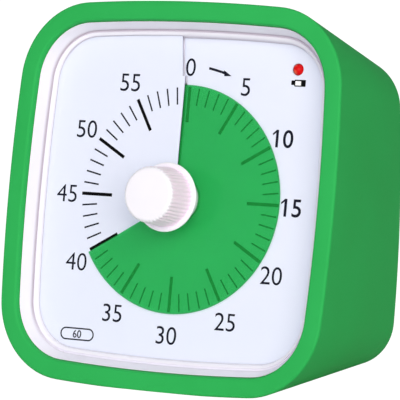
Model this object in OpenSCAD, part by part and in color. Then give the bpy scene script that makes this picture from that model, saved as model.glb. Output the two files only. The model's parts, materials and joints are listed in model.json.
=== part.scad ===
// Countdown timer: a soft sleeve round a white case, a slit dial and a coloured time disc

/* [Case] */
// Width across the front of the case
case_w = 95; // [91:0.5:103]
// Height of the front of the case, along its slope
case_h = 98.7; // [95:0.1:106]
// Depth from the front rim to the middle of the rear face
case_d = 55.5; // [54:0.5:64]
// Width across the rear of the case
rear_w = 78.6; // [77:0.2:84]
// Height of the rear of the case
rear_h = 79.6; // [78.6:0.2:84]
// Rise of the rear's middle above the front's middle
rear_rise = 1.5; // [0.9:0.1:2.1]
// Rise of the case's middle above the knob's axis
case_lift = 0.3; // [0:0.1:0.7]
// Angle between the rear face and the front face
rear_slope = 7.35; // [6:0.05:8.5]
// Bow of each side at the front
front_bow = 2.4; // [1.6:0.1:3.2]
// Bow of each side at the rear
rear_bow = 1.7; // [1.2:0.1:2.4]
// Corner radius at the front
front_corner = 20; // [17:0.5:23]
// Corner radius at the rear
rear_corner = 11.8; // [10.4:0.2:14]
// Depth of the flat that is taken off the bowed underside
sit_cut = 0.25; // [0.2:0.05:0.6]

/* [Sleeve] */
// Wall of the soft sleeve
sleeve_wall = 2; // [1.6:0.1:2.4]
// Width of the sleeve's front rim
lip_w = 4.7; // [4.4:0.1:5.3]
// Thickness of the sleeve's front rim
lip_t = 2.4; // [2:0.1:2.7]
// Rounding of the rim's inner edge
lip_round = 0.7; // [0.4:0.1:1]
// Rounding of the sleeve's front outer edge
front_edge = 0.8; // [0.5:0.1:1.2]
// Rounding of the sleeve's rear edge
rear_edge = 3.7; // [3:0.1:4.4]
// Width of the sleeve's turned-in rear rim
rear_lip_w = 6.5; // [5.6:0.1:7]
// Thickness of the sleeve's rear rim
rear_lip_t = 1.8; // [1.5:0.1:2.1]

/* [Front shell] */
// Wall of the front shell
shell_wall = 1.8; // [1.5:0.1:2.1]
// Distance from the case's side to the dial opening
bezel_w = 6.8; // [6.6:0.1:7.2]
// Depth of the shell's own rim below the sleeve's front
bezel_rim_d = 1.5; // [1.2:0.1:1.8]
// Distance from the case's side to the step in the bezel
bezel_step_w = 5.9; // [5.7:0.1:6.1]
// Depth of the middle of the bezel's step below the sleeve's front
bezel_step_d = 4.6; // [4.4:0.1:4.7]
// Height of the bezel's step
bezel_step_h = 0.6; // [0.4:0.05:0.7]
// Thickness of the bezel at the dial opening
bezel_lip_t = 0.6; // [0.4:0.05:0.8]

/* [Dial] */
// Depth of the dial's low flap below the front rim
dial_depth = 7.2; // [6.9:0.05:7.6]
// Height that the dial and the disc gain in one turn
dial_pitch = 1; // [0.9:0.05:1.3]
// Thickness of the dial sheet
sheet_t = 0.3; // [0.2:0.05:0.35]
// Width of the slit in the dial sheet
slit_w = 0.4; // [0.3:0.05:0.8]
// Distance of the slit to the left of the dial's middle
slit_off = 0.7; // [0.6:0.05:0.9]
// Distance to the left of the slit's outer part, just beyond the disc
slit_jog_off = 1.7; // [1.3:0.1:1.9]
// Distance to the left of the slit's outer end
slit_end_off = 2.9; // [2.2:0.1:3.2]
// Thickness of the time disc
disc_t = 0.25; // [0.15:0.05:0.3]
// Radius of the time disc
disc_r = 28.9; // [28:0.1:29.6]
// Width of the radial cut in the time disc, in degrees
disc_cut = 0.6; // [0.4:0.1:2]
// Minutes that the timer shows
minutes_set = 40; // [5:1:55]
// Thickness of the dial plate's floor
plate_floor = 1.8; // [1.5:0.1:2.2]
// Clear depth of the well behind the dial sheet
well_d = 1.75; // [1.7:0.05:2.1]

/* [Knob] */
// Radius of the knob's grip at its front
grip_r = 6.9; // [6.4:0.1:7.3]
// Radius of the knob's grip at its base
grip_base_r = 7.6; // [7.3:0.1:8]
// Width of the bevel round the knob's front
grip_edge = 0.6; // [0.4:0.1:0.8]
// Depth of the grip's flutes
flute_d = 0.35; // [0.2:0.05:0.5]
// Number of flutes round the grip
flutes = 44; // [30:2:50]
// Reach of the knob in front of the case's rim
knob_reach = 9; // [7:0.5:12]
// Depth of the collar's front face below the rim
collar_depth = 0.1; // [0:0.1:0.6]
// Radius of the knob's collar
collar_r = 8.8; // [8.6:0.1:9.6]
// Thickness of the knob's collar
collar_t = 1; // [0.8:0.1:1.3]
// Length of the neck behind the collar
neck_l = 3.7; // [3:0.1:3.9]
// Radius of the disc hub
hub_r = 5.5; // [5:0.1:5.8]
// Radius of the knob's shaft
shaft_r = 2; // [1.6:0.1:2.2]
// Outer radius of the shaft's bush
bush_r = 3.2; // [3:0.1:3.6]

/* [Movement] */
// Thickness of the movement's front plate
train_plate_t = 1.4; // [1.2:0.1:1.8]
// Depth of the space for the gear train
train_room = 10.3; // [10:0.1:11.5]
// Half the width of the movement
movement_hx = 24.5; // [24.5:0.1:25.5]
// Half the height of the movement
movement_hz = 22; // [22:0.1:23]
// Wall of the movement's cover
movement_wall = 1.3; // [1.1:0.1:1.6]
// Tooth size of the drive wheel
drive_module = 0.28; // [0.27:0.005:0.29]
// Tooth size of the third wheel
third_module = 0.25; // [0.24:0.005:0.26]
// Tooth size of the second wheel
second_module = 0.25; // [0.24:0.005:0.26]
// Teeth of the drive wheel
drive_teeth = 90; // [80:2:90]
// Teeth of the third wheel
third_teeth = 72; // [60:6:72]
// Teeth of the second wheel
second_teeth = 60; // [48:6:60]
// Leaves of each pinion
leaves = 6; // [6:1:7]
// Radius of the gear arbors' pivots
pivot_r = 0.4; // [0.3:0.05:0.45]
// Radius of the rotor magnet
magnet_r = 2.8; // [2.4:0.1:3]

/* [Battery] */
// Radius of the battery cell
cell_r = 7.1; // [6.9:0.05:7.2]
// Length of the battery cell's can
cell_l = 49.5; // [48:0.1:49.7]
// Wall of the battery bay
bay_wall = 1.2; // [1:0.1:1.4]
// Room for the battery's spring
spring_room = 6; // [5.5:0.1:6.2]
// Thickness of the rear cover
cover_t = 2.2; // [1.9:0.1:2.5]
// Thickness of the battery door
door_t = 1.8; // [1.6:0.1:1.9]

/* [Electronics] */
// Radius of the warning light
led_r = 1.5; // [1.4:0.05:1.6]
// Thickness of the circuit board
board_t = 1.6; // [1.2:0.1:1.8]
// Radius of the speaker
speaker_r = 12.5; // [11:0.1:12.6]
// Travel of the volume slider to each side
slider_travel = 2; // [1.5:0.1:2.4]

/* [Fasteners] */
// Radius of the case screws
case_screw_r = 1.3; // [1.1:0.05:1.5]
// Radius of the case posts
post_r = 3.2; // [2.9:0.1:3.4]
// Radius of the small screws
small_screw_r = 0.9; // [0.8:0.05:1]

/* [Fits] */
// Gap between a piece and its seat
seat_gap = 0.3; // [0.2:0.05:0.35]
// Radial running clearance of shafts and pivots
run_gap = 0.05; // [0.03:0.01:0.08]
// Radial clearance of pressed and screwed joints
press_gap = 0.02; // [0.01:0.01:0.04]
// Radial clearance of a screw in its clear hole
screw_gap = 0.2; // [0.1:0.05:0.25]

/* [Hidden] */
$fn = 48;
eps = 0.02;
side_steps = 4;
corner_steps = 8;
quarter = 2 * side_steps + corner_steps;
round_steps = 4;
disc_steps = 96;

// The case's walls, as straight lines from the front outline to the rear outline
rear_k = tan(rear_slope);
rear_z = case_lift + rear_rise;
function lerp(a, b, t) = a + (b - a) * t;
function bow_r(half, bow) = (half * half + bow * bow) / (2 * bow);
function corner_c(half, rb, r) =
    let (b = 2 * (rb - half), c = pow(rb - half, 2) - pow(rb - r, 2))
    (-b + sqrt(b * b - 8 * c)) / 4;
function bow_point(a, half, rb, r, c, th, inset) =
    a < th ? [half - rb + (rb - inset) * cos(a), (rb - inset) * sin(a)] :
    a <= 90 - th ? [c + (r - inset) * cos(a), c + (r - inset) * sin(a)] :
    [(rb - inset) * cos(a), half - rb + (rb - inset) * sin(a)];
function step_angle(i, th) =
    i < side_steps ? th * i / side_steps :
    i < side_steps + corner_steps ? lerp(th, 90 - th, (i - side_steps) / corner_steps) :
    lerp(90 - th, 90, (i - side_steps - corner_steps) / side_steps);
function turn90(p, q) = q == 0 ? p : turn90([-p[1], p[0]], q - 1);
// Outline of a bowed square, counter-clockwise from the middle of its right side
function bowed(half, bow, r, inset) =
    let (rb = bow_r(half, bow), c = corner_c(half, rb, r), th = atan2(c, c + rb - half))
    [for (q = [0:3]) for (i = [0:quarter - 1])
        turn90(bow_point(step_angle(i, th), half, rb, r, c, th, inset), q)];
function front_line(inset) =
    [for (p = bowed(case_w / 2, front_bow, front_corner, inset))
        [p[0], 0, case_lift + p[1] * case_h / case_w]];
function rear_line(inset) =
    [for (p = bowed(rear_w / 2, rear_bow, rear_corner, inset))
        let (z = p[1] * rear_h / rear_w) [p[0], case_d - rear_k * z, rear_z + z]];
// Share of the way back at which a wall line meets a plane: rear = 0 is square to
// the knob's axis at that depth, rear = 1 lies that far in front of the rear face
function wall_share(f, b, rear, depth) =
    rear == 0 ? depth / b[1] :
    (case_d - depth - rear_k * (f[2] - rear_z)) / (b[1] + rear_k * (b[2] - f[2]));
function ring(rear, depth, inset) =
    let (f = front_line(inset), b = rear_line(inset))
    [for (i = [0:len(f) - 1]) lerp(f[i], b[i], wall_share(f[i], b[i], rear, depth))];

// The stance: the underside lies flat, so the case leans back by the slope of its base
low_front = case_lift - case_h / 2;
low_rear = rear_z - rear_h / 2;
low_rear_y = case_d + rear_k * rear_h / 2;
lean = atan((low_rear - low_front) / low_rear_y);
stand_h = -low_front * cos(lean) - sit_cut;
stand_y = low_rear_y * cos(lean) / 2 + (low_front + low_rear) / 2 * sin(lean);
function seated(p) = [p[0], p[1], max(p[2], (p[1] * sin(lean) - stand_h) / cos(lean))];

// A closed band of rings; the profile lists [rear, depth, inset] round the wall's section
function band_points(profile) = [for (q = profile) for (p = ring(q[0], q[1], q[2])) seated(p)];
function band_faces(n, m) =
    [for (i = [0:n - 1]) for (j = [0:m - 1])
        let (a = i * m + j, b = i * m + (j + 1) % m,
             c = ((i + 1) % n) * m + (j + 1) % m, d = ((i + 1) % n) * m + j)
        each [[a, b, c], [a, c, d]]];
module band(profile) {
    polyhedron(band_points(profile), band_faces(len(profile), 4 * quarter), convexity = 8);
}
// Outline of a section parallel to the rear face, in that face's own plane
function rear_outline(depth, inset) =
    [for (p = ring(1, depth, inset)) [p[0], (p[2] - rear_z) / cos(rear_slope)]];
function quarter_round(r, a0, a1) = [for (i = [0:round_steps]) let (a = lerp(a0, a1, i / round_steps))
    [r * (1 - cos(a)), r * (1 - sin(a))]];

// Helpers for pieces along the knob's axis (y) and on the rear face
module stand() {
    translate([0, -stand_y, stand_h]) rotate([-lean, 0, 0]) children();
}
module along(y0, y1) {
    translate([0, y1, 0]) rotate([90, 0, 0]) linear_extrude(y1 - y0) children();
}
module rod(r, y0, y1) {
    translate([0, y0, 0]) rotate([-90, 0, 0]) cylinder(r = r, h = y1 - y0);
}
module at(p) {
    translate([p[0], 0, p[1]]) children();
}
module on_rear(x = 0, z = 0) {
    stand() translate([0, case_d - cover_back, rear_z]) rotate([rear_slope, 0, 0])
        translate([x, 0, z]) children();
}
module block(low, high) {
    translate(low) cube(high - low);
}

// Depths of the pieces behind the dial
cover_back = rear_lip_t + seat_gap;
cover_front = cover_back + cover_t / cos(rear_slope);
sheet_back = dial_depth + sheet_t / 2;
rim_front = sheet_back + seat_gap;
ramp_gap = 0.1;
well_floor = sheet_back + well_d;
plate_back = well_floor + plate_floor;
well_r = disc_r + 2 * seat_gap;
bezel_gap = 0.15;
bezel_back = dial_depth - dial_pitch - sheet_t / 2 - bezel_gap;
disc_lift = dial_pitch / 2;
collar_back = collar_depth + collar_t;
neck_back = collar_back + neck_l;
hub_flange_t = 0.6;
hub_flange_w = 1.6;
hub_back = well_floor - seat_gap;
shell_out = sleeve_wall + seat_gap;
shell_in = shell_out + shell_wall;
shell_front = lip_t + seat_gap;

// The four case posts, placed from the rear corners
post_in_x = 14.3;
post_in_z = 10.3;
post_x = rear_w / 2 - post_in_x;
post_z = rear_h / 2 - post_in_z;
post_spots = [for (sx = [-1, 1]) for (sz = [-1, 1]) [sx * post_x, sz * post_z]];
// Depth of the cover's inner face behind the dial, at a height in the case
function cover_y(z) = case_d - cover_front - rear_k * (z - rear_z);
boss_l = 3;
boss_r = post_r + 0.4;
screw_l = 12;
screw_room = 1;
head_seat = 1.4;
head_gap = 0.3;
// Depth of the end of the cover's boss over a post
function boss_y(p) = cover_y(p[1] + rear_z) - boss_l;
head_h = 1.6;
head_share = 2;
head_r = case_screw_r * head_share;

// The gear train
plate_in = plate_back + train_plate_t;
train_back = plate_in + train_room;
movement_back = train_back + train_plate_t;
wheel_t = 1.3;
clutch_room = 0.9;
layer_gap = 0.7;
layer_a = plate_in + 0.5;
layer_b = layer_a + wheel_t + clutch_room;
layer_c = layer_b + wheel_t + layer_gap;
layer_d = layer_c + wheel_t + layer_gap;
function polar(r, a) = [r * cos(a), r * sin(a)];
drive_dist = (drive_teeth + leaves) / 2 * drive_module;
third_dist = (third_teeth + leaves) / 2 * third_module;
second_dist = (second_teeth + leaves) / 2 * second_module;
third_way = 204;
second_way = 312;
rotor_way = 354;
third_at = polar(drive_dist, third_way);
second_at = third_at + polar(third_dist, second_way);
rotor_at = second_at + polar(second_dist, rotor_way);
train_post_r = 2.2;
train_post_x = movement_hx - movement_wall - train_post_r - 0.3;
train_post_z = movement_hz - movement_wall - train_post_r + 0.1;
train_posts = [for (sx = [-1, 1]) for (sz = [-1, 1]) [sx * train_post_x, sz * train_post_z]];
ear_r = 3;
ear_x = movement_hx + ear_r + 0.2;
peg_r = 1.5;
pivot_l = 0.7;
arm_w = 3;
pole_half = 6;
core_x = 15.5;
core_half = 1.4;
core_low = rotor_at[1] - pole_half;
core_high = 10;
clip_y = layer_a + wheel_t + clutch_room;
clip_t = 0.6;
groove_d = 0.4;
shaft_front = 3 - knob_reach;
shaft_end_gap = 0.6;
stator_y = layer_d + 0.5;
stator_t = 1.1;
core_t = 1.1;
bobbin_gap = 0.4;
bobbin_low = core_low + arm_w + bobbin_gap;
bobbin_high = core_high - arm_w - bobbin_gap;
bobbin_half = [2.1, 1.3];
flange_half = [3.6, 2.8];
flange_t = 0.8;
bobbin_y = stator_y - core_t / 2;

// The board, light and sounder
board_stand = 2.1;
board_front = plate_back + board_stand;
board_back = board_front + board_t;
board_low = movement_hz + 2;
board_high = board_low + 13;
led_in_x = 16.8;
led_in_z = 15.45;
led_x = case_w / 2 - led_in_x;
led_z = case_h / 2 - led_in_z;
board_hx = led_x + 2.5;
led_base = board_front - 1.5;
led_tip = dial_depth - 1.3;
led_wire_r = 0.3;
led_wire_x = 0.6;
board_screw_x = 12;
board_screw_z = board_low + 4;
board_post_r = 2.2;

// The battery bay on the rear cover
bay_z = -13.4;
bay_x0 = -29.6;
contact_t = 0.4;
nub_l = 1;
nub_r = 2.7;
cell_x0 = bay_x0 + contact_t + spring_room + seat_gap;
cell_x1 = cell_x0 + cell_l;
bay_x1 = cell_x1 + nub_l + seat_gap + contact_t;
cell_gap = 0.8;
bay_half = cell_r + cell_gap;
cell_y = -cover_t - cell_r - cell_gap;
bay_front = cell_y - cell_r - cell_gap;
door_over = 1.6;
door_gap = 0.25;
contact_half = 6;
speaker_x = -14;
speaker_z = 15.5;
speaker_y = -cover_t - seat_gap;
cone_r = speaker_r - 2.5;
frame_wall = 0.8;
frame_d = 4.6;
pole_r = 2.6;
speaker_magnet_r = 5.5;
speaker_magnet_t = 2.8;
speaker_ring_h = 4;
speaker_wall = 1.1;
switch_x = 19;
switch_z = 15;
switch_y = -cover_t - seat_gap;
slider_back = switch_y - 2.4;
slider_half = [1.4, 0.9];
slot_half = [slider_travel + slider_half[0] + seat_gap, slider_half[1] + seat_gap];

// ---- Outer pieces ----

module silicone_case() {
    front_arc = [for (p = quarter_round(front_edge, 90, 0)) [0, p[1], p[0]]];
    rear_arc = [for (p = quarter_round(rear_edge, 0, 90)) [1, p[1], p[0]]];
    rim_arc = [for (p = quarter_round(lip_round, 0, 90)) [0, p[1], lip_w - p[0]]];
    profile = concat(front_arc, rear_arc,
        [[1, 0, rear_lip_w], [1, rear_lip_t, rear_lip_w], [1, rear_lip_t, sleeve_wall]],
        [[0, lip_t, sleeve_wall], [0, lip_t, lip_w]],
        rim_arc);
    color([0.18, 0.7, 0.36]) stand() band(profile);
}

module front_shell() {
    shoulder = 1.2;
    step_run = 0.12;
    ledge_share = 0.7;
    ledge_drop = 0.1;
    groove_share = 0.4;
    groove_run = 0.05;
    lip_gap = 0.1;
    rim_flat = 0.15;
    rim_in = lip_w + lip_gap;
    step_top = bezel_step_d - bezel_step_h / 2;
    step_back = bezel_step_d + bezel_step_h / 2;
    profile = [
        [0, shell_front, shell_out],
        [1, cover_front, shell_out],
        [1, cover_front, shell_in],
        [0, bezel_back - shoulder, shell_in],
        [0, bezel_back, shell_in + shoulder],
        [0, bezel_back, bezel_w],
        [0, bezel_back - bezel_lip_t, bezel_w],
        [0, step_back + ledge_drop, lerp(bezel_step_w, bezel_w, ledge_share)],
        [0, step_back, lerp(bezel_step_w, bezel_w, groove_share) + groove_run],
        [0, bezel_back - bezel_lip_t, lerp(bezel_step_w, bezel_w, groove_share)],
        [0, bezel_back - bezel_lip_t, bezel_step_w + groove_run],
        [0, step_top, bezel_step_w - step_run],
        [0, bezel_rim_d, rim_in + rim_flat],
        [0, bezel_rim_d, rim_in],
        [0, shell_front, rim_in]];
    color([0.96, 0.95, 0.98]) stand() band(profile);
}

module rear_cover() {
    color([0.95, 0.94, 0.97]) difference() {
        union() {
            on_rear() along(-cover_t, 0) polygon(rear_outline(cover_back, shell_out));
            for (p = post_spots) stand() at([p[0], p[1] + rear_z])
                rod(boss_r, boss_y(p), boss_y(p) + boss_l + 1);
            on_rear() bay_tub();
            on_rear(speaker_x, speaker_z) difference() {
                rod(speaker_r + seat_gap + speaker_wall, speaker_y - speaker_ring_h, -1);
                rod(speaker_r + seat_gap, speaker_y - speaker_ring_h - 1, -cover_t);
            }
        }
        for (p = post_spots) stand() at([p[0], p[1] + rear_z]) {
            rod(case_screw_r + screw_gap, boss_y(p) - 1, case_d);
            rod(head_r + head_gap, boss_y(p) + head_seat, case_d + 10);
        }
        on_rear() bay_hollow();
        on_rear(speaker_x, speaker_z) grille_holes();
        on_rear(switch_x, switch_z) along(-cover_t - 1, 1)
            square(2 * slot_half, center = true);
    }
}

module bay_tub() {
    block([bay_x0 - bay_wall, bay_front - bay_wall, bay_z - bay_half - bay_wall],
        [bay_x1 + bay_wall, -1, bay_z + bay_half + bay_wall]);
}

module bay_hollow() {
    block([bay_x0, bay_front, bay_z - bay_half], [bay_x1, 1, bay_z + bay_half]);
    block([bay_x0 - door_over, -door_t - press_gap, bay_z - bay_half - door_over],
        [bay_x1 + door_over, 1, bay_z + bay_half + door_over]);
}

module grille_holes() {
    hole_r = 0.8;
    pitch = 3;
    rod(hole_r, -cover_t - 1, 1);
    for (ring_n = [1:3]) for (i = [0:6 * ring_n - 1])
        at(polar(pitch * ring_n, i * 60 / ring_n)) rod(hole_r, -cover_t - 1, 1);
}

module battery_door() {
    hx = (bay_x1 - bay_x0) / 2 + door_over - door_gap;
    hz = bay_half + door_over - door_gap;
    tab_x = 25;
    tab_w = 4;
    tab_t = 1.2;
    tab_low = -bay_half + door_gap;
    groove_pitch = 1.6;
    groove = [14, 0.4, 0.8];
    color([0.95, 0.94, 0.97]) on_rear((bay_x0 + bay_x1) / 2, bay_z) difference() {
        union() {
            block([-hx, -door_t, -hz], [hx, 0, hz]);
            for (x = [-tab_x, tab_x]) block([x - tab_w / 2, -cover_t - 0.4, tab_low],
                [x + tab_w / 2, -door_t + eps, tab_low + tab_t]);
        }
        for (i = [-3:3]) translate([0, 0, i * groove_pitch])
            block([-groove[0] / 2, -groove[1], -groove[2] / 2], [groove[0] / 2, 1, groove[2] / 2]);
    }
}

// ---- Dial ----

// Outline of a flat section at a depth, clockwise from the top middle and back to it
function dial_line(depth, inset) =
    let (line = ring(0, depth, inset), m = 4 * quarter)
    [for (i = [0:m]) let (p = line[(quarter - i + m) % m]) [p[0], p[2]]];
function clock_angle(p, i, m) =
    i == 0 ? 0 : i == m ? 360 : (atan2(p[0], p[1]) + 360) % 360;
// A spiral sheet between an inner circle and an outline: [x, z, angle] per spoke
function spokes(depth, inset, off) =
    let (line = dial_line(depth, inset), m = len(line) - 1)
    [for (i = [0:m]) let (side = i == 0 ? slit_w / 2 - off : i == m ? -slit_w / 2 - off : 0)
        [line[i][0] + side, line[i][1], clock_angle(line[i], i, m), side]];
function spiral_y(angle) = dial_depth - dial_pitch * angle / 360;
function sheet_faces(n) = concat(
    [for (i = [0:n - 2]) let (a = 4 * i, b = 4 * (i + 1)) each [
        [a, a + 1, b + 1], [a, b + 1, b],
        [a + 3, b + 2, a + 2], [a + 3, b + 3, b + 2],
        [a + 1, a + 2, b + 2], [a + 1, b + 2, b + 1],
        [a, b + 3, a + 3], [a, b, b + 3]]],
    [[0, 3, 2], [0, 2, 1]],
    let (e = 4 * (n - 1)) [[e, e + 1, e + 2], [e, e + 2, e + 3]]);

module dial_sheet() {
    inner = hub_r + 2 * seat_gap;
    tucked = 1;
    led_gap = 0.15;
    list = spokes(dial_depth, bezel_w - tucked, slit_off);
    pts = [for (s = list) let (y = spiral_y(s[2]), x0 = inner * sin(s[2]) + s[3], z0 = inner * cos(s[2]))
        each [[x0, y - sheet_t / 2, z0], [s[0], y - sheet_t / 2, s[1]],
              [s[0], y + sheet_t / 2, s[1]], [x0, y + sheet_t / 2, z0]]];
    jog = disc_r + 2.3;
    top = list[0][1];
    half = slit_w / 2;
    flap_x = -slit_off - half / 2;
    color([0.94, 0.95, 1]) stand() difference() {
        union() {
            difference() {
                polyhedron(pts, sheet_faces(len(list)), convexity = 4);
                along(0, dial_depth - 0.4) polygon([[-slit_jog_off - half, jog], [flap_x, jog],
                    [flap_x, top + 1], [-slit_end_off - half, top + 1]]);
            }
            along(dial_depth - sheet_t / 2, sheet_back)
                polygon([[half - slit_jog_off, jog + slit_w], [0, jog + slit_w],
                    [0, top - 0.1], [half - slit_end_off, top - 0.1]]);
        }
        at([led_x, led_z]) rod(led_r + led_gap, dial_depth - 2, dial_depth + 2);
    }
}

module time_disc() {
    inner = hub_r + seat_gap;
    lead = minutes_set * 6;
    pts = [for (i = [0:disc_steps]) let (
            a = lead - disc_cut / 2 - (360 - disc_cut) * i / disc_steps,
            y = spiral_y(a) - disc_lift)
        each [[inner * sin(a), y - disc_t / 2, inner * cos(a)],
              [disc_r * sin(a), y - disc_t / 2, disc_r * cos(a)],
              [disc_r * sin(a), y + disc_t / 2, disc_r * cos(a)],
              [inner * sin(a), y + disc_t / 2, inner * cos(a)]]];
    color([0.2, 0.72, 0.38]) stand()
        polyhedron(pts, [for (f = sheet_faces(disc_steps + 1)) [f[2], f[1], f[0]]], convexity = 4);
}

module dial_plate() {
    line = dial_line(plate_back, shell_in + seat_gap);
    ramp = spokes(rim_front, shell_in + seat_gap + 1.8, slit_end_off);
    ramp_in = well_r + 0.5;
    foot = rim_front + 0.3;
    led_hole_r = led_r + 0.5;
    ramp_top = sheet_t / 2 + ramp_gap;
    pts = [for (s = ramp) let (y = spiral_y(s[2]) + ramp_top, x0 = ramp_in * sin(s[2]) + s[3],
            z0 = ramp_in * cos(s[2]))
        each [[x0, y, z0], [s[0], y, s[1]], [s[0], foot, s[1]], [x0, foot, z0]]];
    color([0.9, 0.9, 0.93]) stand() difference() {
        union() {
            along(rim_front, plate_back) polygon([for (i = [0:len(line) - 2]) line[i]]);
            polyhedron(pts, sheet_faces(len(ramp)), convexity = 4);
            for (p = post_spots) at([p[0], p[1] + rear_z])
                rod(post_r, plate_back - 0.5, boss_y(p));
            for (x = [-ear_x, ear_x]) at([x, 0]) rod(peg_r, plate_back - 0.5, plate_in + 1);
            for (x = [-board_screw_x, board_screw_x]) at([x, board_screw_z])
                rod(board_post_r, plate_back - 0.5, board_front);
        }
        rod(well_r, rim_front - 3, well_floor);
        rod(bush_r + press_gap, 0, plate_back + 1);
        at([led_x, led_z]) rod(led_hole_r, 0, board_back + 1);
        for (p = post_spots) at([p[0], p[1] + rear_z])
            rod(case_screw_r + press_gap, boss_y(p) - screw_l - screw_room, case_d);
        for (x = [-board_screw_x, board_screw_x]) at([x, board_screw_z])
            rod(small_screw_r + press_gap, plate_back - 0.4, board_front + 1);
    }
}

// ---- Knob, hub and shaft ----

module fluted(r) {
    polygon([for (i = [0:2 * flutes - 1]) let (q = r - (i % 2) * flute_d, a = i * 180 / flutes)
        [q * cos(a), q * sin(a)]]);
}

module knob() {
    collar_rim = 1.2;
    color([0.97, 0.96, 0.99]) stand() difference() {
        union() {
            rod(collar_r, collar_depth, collar_back);
            translate([0, collar_back - eps, 0]) rotate([-90, 0, 0])
                cylinder(r1 = collar_r - collar_rim, r2 = hub_r + 0.1, h = neck_l + eps);
            translate([0, collar_depth + eps, 0]) rotate([90, 0, 0])
                linear_extrude(knob_reach + collar_depth - grip_edge + 2 * eps, scale = grip_r / grip_base_r)
                    fluted(grip_base_r);
            translate([0, -knob_reach, 0]) rotate([-90, 0, 0])
                cylinder(r1 = grip_r - grip_edge, r2 = grip_r - 0.05, h = grip_edge);
        }
        rod(shaft_r + press_gap, shaft_front - 0.5, neck_back + 1);
    }
}

module disc_hub() {
    color([0.93, 0.93, 0.95]) stand() difference() {
        union() {
            rod(hub_r, neck_back, hub_back);
            rod(hub_r + hub_flange_w, hub_back - hub_flange_t, hub_back);
        }
        rod(shaft_r + press_gap, neck_back - 1, hub_back + 1);
    }
}

module knob_shaft() {
    color([0.8, 0.8, 0.82]) stand() difference() {
        rod(shaft_r, shaft_front, movement_back - shaft_end_gap);
        difference() {
            rod(shaft_r + 1, clip_y, clip_y + clip_t);
            rod(shaft_r - groove_d, clip_y - 1, clip_y + clip_t + 1);
        }
    }
}

module shaft_bush() {
    color([0.85, 0.7, 0.35]) stand() difference() {
        rod(bush_r, well_floor, plate_in);
        rod(shaft_r + run_gap, well_floor - 1, plate_in + 1);
    }
}

module clutch_spring() {
    washer_t = 0.25;
    washer_in = shaft_r + 0.1;
    washer_out = shaft_r + 1.7;
    low = layer_a + wheel_t + run_gap;
    rise = clutch_room - 2 * run_gap;
    color([0.75, 0.76, 0.78]) stand() translate([0, low, 0]) rotate([-90, 0, 0])
        rotate_extrude() polygon([[washer_in, rise - washer_t], [washer_in, rise],
            [washer_out, washer_t], [washer_out, 0]]);
}

module shaft_clip() {
    mouth = 0.55 * shaft_r;
    color([0.3, 0.3, 0.32]) stand() difference() {
        rod(shaft_r + 1.4, clip_y + run_gap, clip_y + clip_t - run_gap);
        rod(shaft_r - groove_d + press_gap, clip_y - 1, clip_y + clip_t + 1);
        block([-mouth, clip_y - 1, 0], [mouth, clip_y + 2, shaft_r + 2]);
    }
}

// ---- Movement ----

module movement_outline(inset) {
    r = 4 - inset;
    hx = movement_hx - inset;
    hz = movement_hz - inset;
    square([2 * hx, 2 * (hz - r)], center = true);
    square([2 * (hx - r), 2 * hz], center = true);
    for (sx = [-1, 1]) for (sz = [-1, 1]) translate([sx * (hx - r), sz * (hz - r)]) circle(r);
}

module pivot_holes(y0, y1) {
    for (p = [third_at, second_at, rotor_at]) at(p) rod(pivot_r + run_gap, y0, y1);
}

module movement_front_plate() {
    color([0.85, 0.85, 0.82]) stand() difference() {
        along(plate_back, plate_in) union() {
            movement_outline(0);
            for (x = [-1, 1]) {
                translate([x * ear_x, 0]) circle(ear_r);
                translate([x * (ear_x - 2), 0]) square([4, 2 * ear_r], center = true);
            }
        }
        rod(bush_r + press_gap, plate_back - 1, plate_in + 1);
        pivot_holes(plate_back - 1, plate_in + 1);
        for (x = [-ear_x, ear_x]) at([x, 0]) rod(peg_r + press_gap, plate_back - 1, plate_in + 1);
        for (p = train_posts) at(p) rod(small_screw_r + press_gap, plate_back - 1, plate_in + 1);
    }
}

module movement_rear_cover() {
    color([0.8, 0.8, 0.78]) stand() difference() {
        union() {
            difference() {
                along(plate_in, movement_back) movement_outline(0);
                along(plate_in - 1, train_back) movement_outline(movement_wall);
            }
            for (p = train_posts) at(p) rod(train_post_r, plate_in, train_back + 0.5);
            rod(shaft_r + 1.6, train_back - eps, movement_back + 1);
        }
        rod(shaft_r + run_gap, train_back - 1, movement_back - shaft_end_gap / 2);
        pivot_holes(train_back - 1, train_back + pivot_l + 0.3);
        for (p = train_posts) at(p) rod(small_screw_r + screw_gap, plate_in - 1, movement_back + 1);
    }
}

module screw(r, head, head_t, y0, y1) {
    difference() {
        union() {
            rod(r, y0, y1 + eps);
            rod(head, y1, y1 + head_t);
        }
        for (a = [0, 90]) translate([0, y1 + head_t, 0]) rotate([0, a, 0])
            cube([head * 1.3, head_t, r * 0.45], center = true);
    }
}

module movement_screws() {
    color([0.7, 0.7, 0.72]) stand() for (p = train_posts) at(p)
        screw(small_screw_r, small_screw_r * head_share, 1, plate_back + 0.1, movement_back);
}

// A wheel or pinion outline: tooth 0 points along the given direction
module toothed(n, m, add, ded, root_w, tip_w, phase) {
    ro = n * m / 2 + add * m;
    ri = n * m / 2 - ded * m;
    step = 360 / n;
    polygon([for (i = [0:n - 1]) let (a = phase + i * step) each [
        polar(ri, a - root_w * step / 2), polar(ro, a - tip_w * step / 2),
        polar(ro, a + tip_w * step / 2), polar(ri, a + root_w * step / 2)]]);
}
module wheel_outline(n, m, way) {
    toothed(n, m, 0.85, 1.2, 0.56, 0.22, way);
}
module pinion_outline(m, way) {
    toothed(leaves, m, 0.75, 1.25, 0.36, 0.16, way + 180 + 180 / leaves);
}
module arbor() {
    rod(pivot_r, plate_back + 0.2, train_back + pivot_l);
}

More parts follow.
